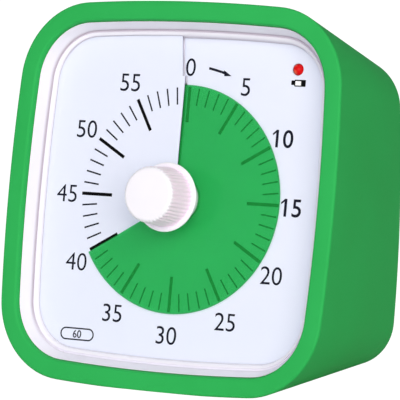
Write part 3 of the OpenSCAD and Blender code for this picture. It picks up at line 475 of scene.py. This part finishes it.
def bowedSquare(half, bow, corner, inset):
    # a square outline with bowed sides and round corners, from its right side anticlockwise
    bend = (half * half + bow * bow) / (2 * bow)
    b, c = 2 * (bend - half), (bend - half) ** 2 - (bend - corner) ** 2
    middle = (-b + sqrt(b * b - 8 * c)) / 4
    join = atan2(middle, middle + bend - half)
    sides, corners = case["sideSteps"], case["cornerSteps"]
    turns = ([join * i / sides for i in range(sides)]
             + [join + (pi / 2 - 2 * join) * i / corners for i in range(corners)]
             + [pi / 2 - join * (1 - i / sides) for i in range(sides)])
    quarter = []
    for a in turns:
        if a < join:
            x, z = half - bend + (bend - inset) * cos(a), (bend - inset) * sin(a)
        elif a <= pi / 2 - join + 1e-9:
            x, z = middle + (corner - inset) * cos(a), middle + (corner - inset) * sin(a)
        else:
            x, z = (bend - inset) * cos(a), half - bend + (bend - inset) * sin(a)
        quarter.append((x, z))
    outline = list(quarter)
    for _ in range(3):
        quarter = [(-z, x) for x, z in quarter]
        outline += quarter
    return outline


def wallRing(rear, depth, inset):
    # the case's outline between its front and its smaller rear; rear 0: square to the knob's
    # axis at that depth; rear 1: that far in front of the rear face
    points = []
    front = bowedSquare(case["width"] / 2, case["frontBow"], case["frontCorner"], inset)
    back = bowedSquare(case["rearWidth"] / 2, case["rearBow"], case["rearCorner"], inset)
    for (fx, fz), (bx, bz) in zip(front, back):
        f = Vector((fx, 0, case["lift"] + fz * case["height"] / case["width"]))
        bz *= case["rearHeight"] / case["rearWidth"]
        b = Vector((bx, case["depth"] - rearK * bz, rearMiddle + bz))
        if rear:
            share = ((case["depth"] - depth - rearK * (f.z - rearMiddle))
                     / (b.y + rearK * (b.z - f.z)))
        else:
            share = depth / b.y
        point = f.lerp(b, share)
        point.z = max(point.z, (point.y * sin(lean) - standHeight) / cos(lean))   # sits flat
        points.append(point)
    return points


sleeve = {"wall": 2, "lipWidth": 4.7, "lipThick": 2.4, "lipRound": 0.6, "frontEdge": 0.8,
          "rearEdge": 3.7, "rearLipWidth": 6.5, "rearLipRound": 0.5, "rearLipRun": 0.6}
profile = ([(0, d, i) for i, d in quarterRound(sleeve["frontEdge"], 90, 0)]
           + [(1, d, i) for i, d in quarterRound(sleeve["rearEdge"], 0, 90, 12)]
           + [(1, 0, sleeve["rearLipWidth"] - sleeve["rearLipRun"])]
           + [(1, d, sleeve["rearLipWidth"] - i)
              for i, d in quarterRound(sleeve["rearLipRound"], 90, 0, 5)]
           + [(1, case["rearLipThick"], sleeve["rearLipWidth"]),
              (1, case["rearLipThick"], sleeve["wall"]), (0, sleeve["lipThick"], sleeve["wall"]),
              (0, sleeve["lipThick"], sleeve["lipWidth"])]
           + [(0, d, sleeve["lipWidth"] - i)
              for i, d in quarterRound(sleeve["lipRound"], 0, 90)])
bm = loft([wallRing(*place) for place in profile], closed=True)
dressed(fromBmesh("siliconeSleeve", bm), "sleeve_silicone", "case", "silicone_case")
print("timer: sleeve")

# the dial is one turn of a shallow spiral, cut along a slit that steps aside above the disc
dial = {"depth": 7.2, "pitch": 1, "thick": 0.3, "inner": 6.1, "edge": 5.8, "rings": 14,
        "slit": 0.13, "jog": 31.2, "jogHigh": 0.1, "jogAt": -1.62, "slitEndAt": -2.88,
        "slitLow": 0.2, "slitAt": -0.82, "slitFoot": 5, "top": 43.5,
        "cutTop": 60, "cutFront": -1, "cutDeep": 3, "shadeLow": 1, "shadeHigh": 0.65,
        "ink": 0.03}
light = {"x": 30.7, "z": 34, "radius": 1.48, "hole": 1.53, "holeDeep": 4, "tip": 5.9,
         "base": 11.5, "brim": 0.25, "brimThick": 1, "legWide": 0.6, "legLong": 3.9,
         "legAside": 0.6, "steps": 48}


def slitPlace(z):
    # where the slit's middle runs at a height on the dial
    if z < dial["jog"] + dial["jogHigh"] / 2:
        return dial["slitAt"]
    share = (z - dial["jog"]) / (dial["top"] - dial["jog"])
    return dial["jogAt"] + (dial["slitEndAt"] - dial["jogAt"]) * share


def spiralDepth(x, z):
    # how deep the dial's middle layer lies, from the place on the dial
    turn = degrees(atan2(x, z))
    if turn < 0 and not (z > 0 and x > slitPlace(z)):
        turn += 360
    elif turn > 0 and z > 0 and x < slitPlace(z):
        turn += 360
    return dial["depth"] - dial["pitch"] * turn / 360


# the front shell with its stepped bezel, which has a fine groove along the step's foot
shell = {"wall": 1.8, "bezelWidth": 7.05, "rim": 1.5, "rimFlat": 0.15, "rimGap": 0.1,
         "stepWidth": 5.8, "stepDepth": 4.6, "stepHeight": 0.6, "stepRun": 0.12,
         "footDrop": 0.15, "ledgeShare": 0.7, "ledgeDrop": 0.1, "grooveShare": 0.4,
         "grooveRun": 0.05, "lipThick": 0.6, "back": 5.9, "backLand": 0.3, "backEdge": 0.25,
         "shoulder": 1.2, "draft": 0.3, "clear": 0.12, "slitHalf": 0.08, "rounding": 0.07,
         "grooveTones": {10: 0.15, 11: 0.6, 12: 1, 13: 0.4},    # painted shade in the groove, by the profile's ring
         # the painted shade fades along the bottom and, at the opening's edge, grows towards the top
         "fadeFrom": -44, "fadeRun": 14, "fadeLeast": 0.12,
         "edgeTone": 0.1, "edgeGain": 0.7, "gainFrom": 30, "gainRun": 10}
outset = sleeve["wall"] + case["seatGap"]
inset = outset + shell["wall"]
coverFront = coverBack + case["coverThick"] / cos(radians(case["rearSlope"]))
shellFront = sleeve["lipThick"] + case["seatGap"]
stepBack, stepFront = (shell["stepDepth"] + shell["stepHeight"] * side for side in (0.5, -0.5))
rimIn = sleeve["lipWidth"] + shell["rimGap"]
ledgeIn = shell["stepWidth"] + (shell["bezelWidth"] - shell["stepWidth"]) * shell["ledgeShare"]
lipFront = shell["back"] - shell["lipThick"]
grooveOut = shell["stepWidth"] + (shell["bezelWidth"] - shell["stepWidth"]) * shell["grooveShare"]
profile = [    # rings 5 to 7 are the opening's edge and 10 to 13 the groove
    (0, shellFront, outset), (1, coverFront, outset), (1, coverFront, inset),
    (0, shell["back"] - shell["shoulder"], inset), (0, shell["back"], inset + shell["shoulder"]),
    (0, shell["back"], shell["bezelWidth"] - shell["backLand"]),
    (0, shell["back"], shell["bezelWidth"]),
    (0, shell["back"] - shell["backEdge"], shell["bezelWidth"]),
    (0, lipFront, shell["bezelWidth"]),
    (0, stepBack + shell["ledgeDrop"], ledgeIn),
    (0, stepBack, grooveOut + shell["grooveRun"]), (0, lipFront, grooveOut),
    (0, lipFront, shell["stepWidth"] + shell["grooveRun"]),
    (0, stepBack - shell["footDrop"], shell["stepWidth"]),
    (0, stepFront, shell["stepWidth"] - shell["stepRun"]),
    (0, shell["rim"], rimIn + shell["rimFlat"]), (0, shell["rim"], rimIn), (0, shellFront, rimIn)]
rings = [wallRing(*place) for place in profile]
for i in (5, 6, 7):  # the opening's edge reaches down to the dial, which falls as it goes round
    for j, point in enumerate(rings[i]):
        foot = spiralDepth(point.x, point.z) - dial["thick"] / 2 - shell["clear"]
        drop = max(foot - shell["back"], 0)
        lower = wallRing(0, profile[i][1] + drop, profile[i][2] + drop * shell["draft"])[j]
        rings[i][j] = lower
    for point, after in zip(rings[i], rings[i][1:]):     # the edge steps down at the slit
        middle = slitPlace(point.z)
        if point.z > 0 and (point.x - middle) * (after.x - middle) < 0:
            near, far = sorted((point, after), key=lambda p: p.x)
            near.x, far.x = middle - shell["slitHalf"], middle + shell["slitHalf"]


def shellPaintedShade(number, point):
    # painted shade: grey in the groove, which fades out along the bottom, and at the opening's edge, where it
    # deepens towards the top
    if number in (5, 6):
        return 1
    if number == 7:
        rise = min(max((point.z - shell["gainFrom"]) / shell["gainRun"], 0), 1)
        return shell["edgeTone"] + shell["edgeGain"] * rise
    fade = min(max((point.z - shell["fadeFrom"]) / shell["fadeRun"], shell["fadeLeast"]), 1)
    return shell["grooveTones"].get(number, 0) * fade


bm = loft(rings, closed=True, creases=shellPaintedShade)
dressed(bevelled(fromBmesh("bezelShell", bm), shell["rounding"]), "white_abs", "case",
        "front_shell")
print("timer: shell")

outline = [(p.x, p.z) for p in wallRing(0, dial["depth"], dial["edge"])]
rings = []
for i in range(dial["rings"] + 1):
    share = i / dial["rings"]
    ring = []
    for x, z in outline:
        reach = dial["inner"] / hypot(x, z)
        ring.append(Vector((x * (reach + (1 - reach) * share), 0,
                            z * (reach + (1 - reach) * share))))
    rings.append(ring)
bm = loft(rings)
thickened(bm, bm.faces[:], dial["thick"])
face = fromBmesh("dialFace", bm, Matrix.Identity(4))
half, halfLow = dial["slit"] / 2, dial["slitLow"] / 2
jogTop, cutTop = dial["jog"] + dial["jogHigh"], dial["cutTop"]
corners = [(dial["slitAt"] - halfLow, dial["slitFoot"]),
           (dial["slitAt"] + halfLow, dial["slitFoot"]), (dial["slitAt"] + halfLow, jogTop),
           (slitPlace(jogTop) + half, jogTop), (slitPlace(cutTop) + half, cutTop),
           (slitPlace(cutTop) - half, cutTop), (dial["jogAt"] - half, dial["jog"]),
           (dial["slitAt"] - halfLow, dial["jog"])]
bm = bmesh.new()
bm.faces.new([bm.verts.new((x, dial["cutFront"], z)) for x, z in corners])
thickened(bm, bm.faces[:], dial["cutDeep"])
slitTool = fromBmesh("slitTool", bm, Matrix.Identity(4))
bm = bmesh.new()
bmesh.ops.create_cone(bm, cap_ends=True, segments=64, radius1=light["hole"],
                      radius2=light["hole"], depth=light["holeDeep"],
                      matrix=Matrix.Translation((light["x"], 0, light["z"]))
                      @ Matrix.Rotation(pi / 2, 4, "X"))
holeTool = fromBmesh("holeTool", bm, Matrix.Identity(4))
cutBy(face, slitTool, holeTool)
held = face.data.attributes.new("paintedShade", "FLOAT", "FACE")
for side in face.data.polygons:      # painted shade on the slit's cut edges, most below its jog
    beside = abs(side.center.x - slitPlace(side.center.z)) < 0.5
    if beside and side.center.z > dial["slitFoot"] and abs(side.normal.y) < 0.5:
        held.data[side.index].value = dial[
            "shadeHigh" if side.center.z > dial["jog"] else "shadeLow"]
for vert in face.data.vertices:
    vert.co.y += spiralDepth(vert.co.x, vert.co.z) - dial["thick"] / 2
face.data.transform(toFrame)
face.data.set_sharp_from_angle(angle=radians(30))
dressed(face, "dial_pvc", "case", "dial_sheet")


def printed(name, bm, finish):
    # a flat print, drawn in x and z with its thickness in y, is laid onto the sheet's front
    for vert in bm.verts:
        vert.co.y += spiralDepth(vert.co.x, vert.co.z) - dial["thick"] / 2 - dial["ink"] / 2
    dressed(fromBmesh(name, bm), "dial_pvc", "case", finish=finish)


ticks = {"outer": 28.6, "fiveInner": 19.6, "fiveWide": 0.85, "minuteOuter": 28.4,
         "minuteInner": 24, "minuteWide": 0.41, "zeroAside": 0.14}


def markRing(name, minutes, inner, outer, wide, finish):
    # a ring of straight marks, one box for each of the minutes
    bm = bmesh.new()
    long = outer - inner
    for minute in minutes:
        aside = ticks["zeroAside"] if minute == 0 else 0
        bmesh.ops.create_cube(bm, size=1, matrix=Matrix.Rotation(radians(6 * minute), 4, "Y")
                              @ Matrix.Translation((aside, 0, inner))
                              @ Matrix.Translation((0, 0, long / 2))
                              @ Matrix.Diagonal((wide, dial["ink"], long, 1)))
    printed(name, bm, finish)


markRing("dialFives", range(0, 60, 5), ticks["fiveInner"], ticks["outer"],
         ticks["fiveWide"], tickFinish)
markRing("dialMinutes", [minute for minute in range(60) if minute % 5], ticks["minuteInner"],
         ticks["minuteOuter"], ticks["minuteWide"], inkFinish)

digits = {"tall": 4.5, "weight": -0.003, "bold": 0.009, "fours": -0.006, "extrude": 0.02,
          "flag": [(0.12, 0), (0.12, -0.62), (-0.85, -1.4), (-0.98, -0.98)],
          "places": {"0": (-0.1, 33.6), "5": (16.3, 29.1), "10": (28.6, 16.6), "15": (32.6, -0.46),
                     "20": (28.3, -17.5), "25": (16.4, -29.9), "30": (-0.1, -34.5),
                     "35": (-16.5, -30.0), "40": (-28.6, -17.6), "45": (-33.2, -0.2),
                     "50": (-28.8, 16.6), "55": (-17.0, 29.0)}}


def slab(bm, points):
    # a flat closed outline given the print's thickness
    made = bm.faces.new([bm.verts.new((x, -dial["ink"] / 2, z)) for x, z in points])
    thickened(bm, [made], dial["ink"])


def lettered(bm, words, x, z, tall, narrow=1.0, weight=0.0):
    # words from the built-in face, made a mesh, sized, and stood upright in x and z
    text = bpy.data.curves.new("words", "FONT")
    text.body, text.extrude, text.offset = words, digits["extrude"], weight
    text.resolution_u = 8
    made = linked("words", text)
    bpy.context.view_layer.update()
    mesh = bpy.data.meshes.new_from_object(made)
    least = Vector([min(v.co[i] for v in mesh.vertices) for i in range(3)])
    most = Vector([max(v.co[i] for v in mesh.vertices) for i in range(3)])
    size = tall / (most.y - least.y)
    mesh.transform(Matrix.Translation((x, 0, z)) @ Matrix.Rotation(pi / 2, 4, "X")
                   @ Matrix.Diagonal((size * narrow, size,
                                      dial["ink"] / (2 * digits["extrude"]), 1))
                   @ Matrix.Translation((least + most) / -2))
    if words.startswith("1"):      # the built-in one is a bare bar: it gets its flag
        left = min(v.co.x for v in mesh.vertices)
        top = max(v.co.z for v in mesh.vertices if v.co.x < left + 0.1)
        slab(bm, [(left + dx, top + dz) for dx, dz in digits["flag"]])
    bm.from_mesh(mesh)
    bpy.data.objects.remove(made)
    bpy.data.meshes.remove(mesh)


bm = bmesh.new()
for words, (x, z) in digits["places"].items():
    weight = "fours" if "4" in words else "bold" if words in ("10", "15") else "weight"
    lettered(bm, words, x, z, digits["tall"], weight=digits[weight])
bmesh.ops.remove_doubles(bm, verts=bm.verts[:], dist=1e-4)
printed("dialNumbers", bm, inkFinish)

signs = {    # boxes are left, right, low and high, and their corners' radius
    "arrow": [(5.25, 33.5), (7.6, 33.05), (10.1, 32.35)], "arrowWide": 0.62, "arrowSteps": 8,
    "head": [(9.6, 33.15), (11.9, 31.75), (9.85, 31.65)],
    "battery": (30.0, 33.15, 29.75, 31.45, 0.18), "nub": (29.1, 30.4, 30.1, 31.25, 0.2),
    "window": (30.25, 31.85, 30.03, 31.12, 0.1), "windowLift": 0.02,
    "pill": (-31.45, -21.4, -37.75, -34.5), "pillLine": 0.36, "pillFlat": 0.01,
    "pillTall": 2.0, "pillNarrow": 0.95, "pillWeight": 0.008,
}


def roundedBox(left, right, low, high, radius, steps=6):
    # points round a box with round corners, in order
    points = []
    for cx, cz, start in ((right - radius, high - radius, 0), (left + radius, high - radius, 90),
                          (left + radius, low + radius, 180), (right - radius, low + radius, 270)):
        points += [(cx + radius * cos(radians(start + 90 * i / steps)),
                    cz + radius * sin(radians(start + 90 * i / steps)))
                   for i in range(steps + 1)]
    return points


def pillRing(inset):
    # the frame's outline, drawn in by that much, on the front of the print
    left, right, low, high = signs["pill"]
    return [Vector((x, -dial["ink"] / 2, z)) for x, z in roundedBox(
        left + inset, right - inset, low + inset, high - inset,
        (high - low) / 2 - inset - signs["pillFlat"], 10)]


bm = bmesh.new()
(x0, z0), (x1, z1), (x2, z2) = signs["arrow"]
upper, lower = [], []
for i in range(signs["arrowSteps"] + 1):     # the shaft of the arrow, a bent stroke
    t = i / signs["arrowSteps"]
    x = (1 - t) ** 2 * x0 + 2 * t * (1 - t) * x1 + t * t * x2
    z = (1 - t) ** 2 * z0 + 2 * t * (1 - t) * z1 + t * t * z2
    dx, dz = (1 - t) * (x1 - x0) + t * (x2 - x1), (1 - t) * (z1 - z0) + t * (z2 - z1)
    side = signs["arrowWide"] / 2 / hypot(dx, dz)
    upper.append((x - dz * side, z + dx * side))
    lower.append((x + dz * side, z - dx * side))
slab(bm, upper + lower[::-1])
slab(bm, signs["head"])
outer, inner = pillRing(0), pillRing(signs["pillLine"])
back = Vector((0, dial["ink"], 0))
frameMesh = bpy.data.meshes.new("pillFrame")
pill = loft([outer, inner, [p + back for p in inner], [p + back for p in outer]], closed=True)
pill.to_mesh(frameMesh)
pill.free()
bm.from_mesh(frameMesh)
bpy.data.meshes.remove(frameMesh)
left, right, low, high = signs["pill"]
lettered(bm, "60", (left + right) / 2, (low + high) / 2, signs["pillTall"], signs["pillNarrow"],
         signs["pillWeight"])
printed("dialSigns", bm, inkFinish)
bm = bmesh.new()
slab(bm, roundedBox(*signs["battery"]))
slab(bm, roundedBox(*signs["nub"]))
printed("batterySign", bm, tickFinish)
bm = bmesh.new()
slab(bm, roundedBox(*signs["window"]))
bmesh.ops.translate(bm, verts=bm.verts[:], vec=(0, -signs["windowLift"], 0))
printed("batteryWindow", bm, windowFinish)
print("timer: dial and print")

# the time disc is the same spiral, half a pitch in front
disc = {"radius": 29.05, "inner": 5.8, "thick": 0.25, "cut": 0.6, "minutes": 39.88, "steps": 180,
        "rings": 10, "rim": 0.3, "edge": 0.1}
lead = radians(disc["minutes"] * 6 - disc["cut"] / 2)
swing = 2 * pi - radians(disc["cut"])
leadDepth = dial["depth"] - dial["pitch"] * degrees(lead) / 360 - dial["pitch"] / 2
bm = bmesh.new()
rimFrom = disc["radius"] - disc["rim"]
radii = [disc["inner"] + (rimFrom - disc["inner"]) * i / disc["rings"]
         for i in range(disc["rings"] + 1)] + [disc["radius"]]
verts = [bm.verts.new((r * sin(lead), leadDepth, r * cos(lead))) for r in radii]
edges = [bm.edges.new(pair) for pair in zip(verts, verts[1:])]
bmesh.ops.spin(bm, geom=verts + edges, cent=(0, 0, 0), axis=(0, 1, 0), angle=-swing,
               steps=disc["steps"],
               dvec=(0, dial["pitch"] * degrees(swing) / 360 / disc["steps"], 0))
thickened(bm, bm.faces[:], disc["thick"])
bmesh.ops.translate(bm, verts=bm.verts[:], vec=(0, -disc["thick"] / 2, 0))
held = bm.verts.layers.float.new("paintedShade")
for vert in bm.verts:     # painted shade: the film is darker along its cut edge
    vert[held] = 1 if hypot(vert.co.x, vert.co.z) > disc["radius"] - disc["edge"] else 0
dressed(fromBmesh("discFilm", bm), "disc_film", "disc", "time_disc")
print("timer: disc")

# the knob is a fluted grip on a round collar, with a tapered neck behind
knob = {"front": 7.0, "base": 7.6, "reach": 8.95, "edge": 1.1, "edgeSteps": 8, "edgeSwell": 0.08,
        "foot": 1, "depths": (0.2, -1.5, -3, -4.5, -6, -7), "landing": 0.3,
        "frontRings": (4.8, 3, 1, 0.3), "crown": 0.04, "crownWide": 5.5,
        "flutes": 44, "perFlute": 8, "fluteDepth": 0.27, "fluteRound": 1.5, "fluteFade": 1.15,
        # where the painted shade tint of the grip's sides begins
        "tintFrom": -8.6, "tintRun": 0.8,
        "collar": 8.75, "collarFront": -0.2, "collarThick": 0.65, "collarRound": 0.4,
        "rearRound": 0.25, "hollow": 0.35, "hollowIn": 0.6, "slopeWide": 0.95, "slopeDeep": 0.1,
        "neckTop": 7.6, "neckEnd": 5.6, "neckLong": 4.2, "steps": 160}


def gripRing(depth, radius, groove):
    # one ring round the grip, drawn in by the groove at each flute
    made = []
    steps = knob["flutes"] * knob["perFlute"]
    for i in range(steps):
        phase = (i % knob["perFlute"]) / knob["perFlute"]
        dip = groove * (0.5 + 0.5 * cos(2 * pi * phase)) ** knob["fluteRound"]
        a = 2 * pi * i / steps
        made.append(Vector(((radius - dip) * cos(a), depth, (radius - dip) * sin(a))))
    return made


def gripShadeTint(number, point):
    # painted shade tint on the sides, which ends at the front's rounding
    return min(max((point.y - knob["tintFrom"]) / knob["tintRun"], 0), 1)


taper = (knob["base"] - knob["front"]) / knob["reach"]
edgeFoot = -knob["reach"] + knob["edge"] + knob["landing"]
rings = [gripRing(depth, knob["base"] - taper * max(-depth, 0), knob["fluteDepth"])
         for depth in (knob["collarFront"] + knob["foot"], *knob["depths"], edgeFoot)]
for i in range(knob["edgeSteps"] + 1):
    a = radians(90 * i / knob["edgeSteps"])
    fade = knob["fluteDepth"] * max(0, 1 - knob["fluteFade"] * i / knob["edgeSteps"])
    rings.append(gripRing(-knob["reach"] + knob["edge"] * (1 - sin(a)),
                          knob["front"] + knob["edgeSwell"] - knob["edge"] * (1 - cos(a)), fade))
for radius in knob["frontRings"]:
    crown = knob["crown"] * (knob["crownWide"] - radius) / knob["crownWide"]
    rings.append(gripRing(-knob["reach"] - crown, radius, 0))
bm = loft(rings, creases=gripShadeTint)
bmesh.ops.holes_fill(bm, edges=[e for e in bm.edges if e.is_boundary], sides=0)
bmesh.ops.recalc_face_normals(bm, faces=bm.faces[:])
gripMesh = bpy.data.meshes.new("grip")
bm.to_mesh(gripMesh)
bm.free()
hollowAt = knob["collarFront"] + knob["hollow"]
collarBack = knob["collarFront"] + knob["collarThick"]
neckBack = collarBack + knob["neckLong"]
profile = ([(0, hollowAt), (knob["base"] - knob["hollowIn"], hollowAt),
            (knob["collar"] - knob["slopeWide"], knob["collarFront"] + knob["slopeDeep"])]
           + [(knob["collar"] - i, knob["collarFront"] + d)
              for i, d in quarterRound(knob["collarRound"], 90, 0)]
           + [(knob["collar"], collarBack - knob["rearRound"]),
              (knob["collar"] - knob["rearRound"], collarBack),
              (knob["neckTop"], collarBack), (knob["neckEnd"], neckBack), (0, neckBack)])
bm = turned(profile, knob["steps"])
bmesh.ops.recalc_face_normals(bm, faces=bm.faces[:])
bm.verts.layers.float.new("paintedShade")
bm.from_mesh(gripMesh)
bpy.data.meshes.remove(gripMesh)
dressed(fromBmesh("knobGrip", bm, smooth=50, recalc=False), "knob_plastic", "dial_drive", "knob")
print("timer: knob")

# the warning light: a domed body with a brim and two legs
brimFront, brimRadius = light["base"] - light["brimThick"], light["radius"] + light["brim"]
profile = ([(light["radius"] * sin(radians(10 * i)),
             light["tip"] + light["radius"] * (1 - cos(radians(10 * i)))) for i in range(10)]
           + [(light["radius"], brimFront), (brimRadius, brimFront), (brimRadius, light["base"]),
              (0, light["base"])])
bm = turned(profile, light["steps"])
for aside in (-light["legAside"], light["legAside"]):
    bmesh.ops.create_cone(bm, cap_ends=True, segments=16, radius1=light["legWide"] / 2,
                          radius2=light["legWide"] / 2, depth=light["legLong"],
                          matrix=Matrix.Translation(
                              (aside, light["base"] + light["legLong"] / 2, 0))
                          @ Matrix.Rotation(pi / 2, 4, "X"))
bmesh.ops.translate(bm, verts=bm.verts[:], vec=(light["x"], 0, light["z"]))
dressed(fromBmesh("warningLight", bm), "led_red", "case", "low_battery_led")
print("timer: warning light")


def softened(node, name, width, body):
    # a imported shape, its triangles merged into faces, with rounded edges
    bm = bmesh.new()
    bm.from_mesh(frame["nodes"][node].data)
    bmesh.ops.remove_doubles(bm, verts=bm.verts[:], dist=2e-6)
    bmesh.ops.dissolve_limit(bm, angle_limit=radians(0.5), verts=bm.verts[:], edges=bm.edges[:])
    piece = fromBmesh(name, bm, Matrix.Identity(4))
    dressed(bevelled(piece, width, 2, 40), slotOf[node], body, node)


softened("rear_cover", "rearCover", 0.2, "case")
softened("battery_door", "batteryDoor", 0.18, "door")
softened("volume_slider", "volumeSlider", 0.08, "volume_knob")
print("timer: rear pieces")

# the floor and the world are white to the camera and a plain light to the object
room = {"floor": 3.0, "floorDrop": 0.0002, "floorTone": (0.9, 0.9, 0.9, 1), "white": 0.9,
        "sky": 0.28, "skyTint": (0.95, 0.98, 1.05, 1), "glow": 1.16}
bm = bmesh.new()
bmesh.ops.create_circle(bm, cap_ends=True, segments=96, radius=room["floor"])
floor = fromBmesh("floor", bm, Matrix.Translation((0, 0, -room["floorDrop"])), recalc=False)
floorFinish = Finish("paleFloor", Base_Color=room["floorTone"], Roughness=0.9)
glow = floorFinish.add("ShaderNodeEmission", None, [(1, 1, 1, 1), room["glow"]])
floorFinish.blend(1 - floorFinish.whiteRays() * room["white"], glow)
floor.data.materials.append(floorFinish.material)

world = bpy.data.worlds.new("studio")
bpy.context.scene.world = world
world.use_nodes = True
sky = NodeMaker(world.node_tree)
backdrop = world.node_tree.nodes["Background"]
white = sky.whiteRays()
sky.feed(backdrop.inputs["Strength"], sky.add(
    "ShaderNodeMix", None, {"Factor": white, "A": room["sky"], "B": room["glow"]}))
sky.feed(backdrop.inputs["Color"], sky.mix(white, room["skyTint"], (1, 1, 1, 1)))

lamps = {
    "keyLight": {"place": (0.2, -1.47, 0.65), "size": 2.0, "power": 4.9,
                 "tint": (0.93, 0.97, 1.05)},
    "leftLight": {"place": (-1.15, -1.2, 0.1), "size": 1.4, "power": 1.8,
                  "tint": (0.93, 0.97, 1.05)},
    "fillLight": {"place": (1.11, -1.48, 0.48), "size": 1.9, "power": 37,
                  "tint": (1, 0.93, 0.84)},
}
for name, values in lamps.items():     # round soft boxes that face the middle of the case
    lamp = bpy.data.lights.new(name, "AREA")
    lamp.shape, lamp.size = "DISK", values["size"]
    lamp.energy, lamp.color = values["power"], values["tint"]
    lampObject = linked(name, lamp)
    lampObject.location = values["place"]
    toMiddle = Vector((0, 0, 0.05)) - Vector(values["place"])
    lampObject.rotation_euler = toMiddle.to_track_quat("-Z", "Y").to_euler()
print("timer: floor and lamps")

lens = {"place": (0.38239, -0.66346, 0.13065), "turn": (83.627, 0.093, 30.128), "length": 270}
camera = bpy.data.cameras.new("camera")
camera.lens, camera.sensor_width = lens["length"], 36
cameraObject = linked("camera", camera)
cameraObject.location = lens["place"]
cameraObject.rotation_euler = [radians(a) for a in lens["turn"]]
bpy.context.scene.camera = cameraObject
bpy.context.scene.view_settings.view_transform = "Standard"

print("timer: ready")
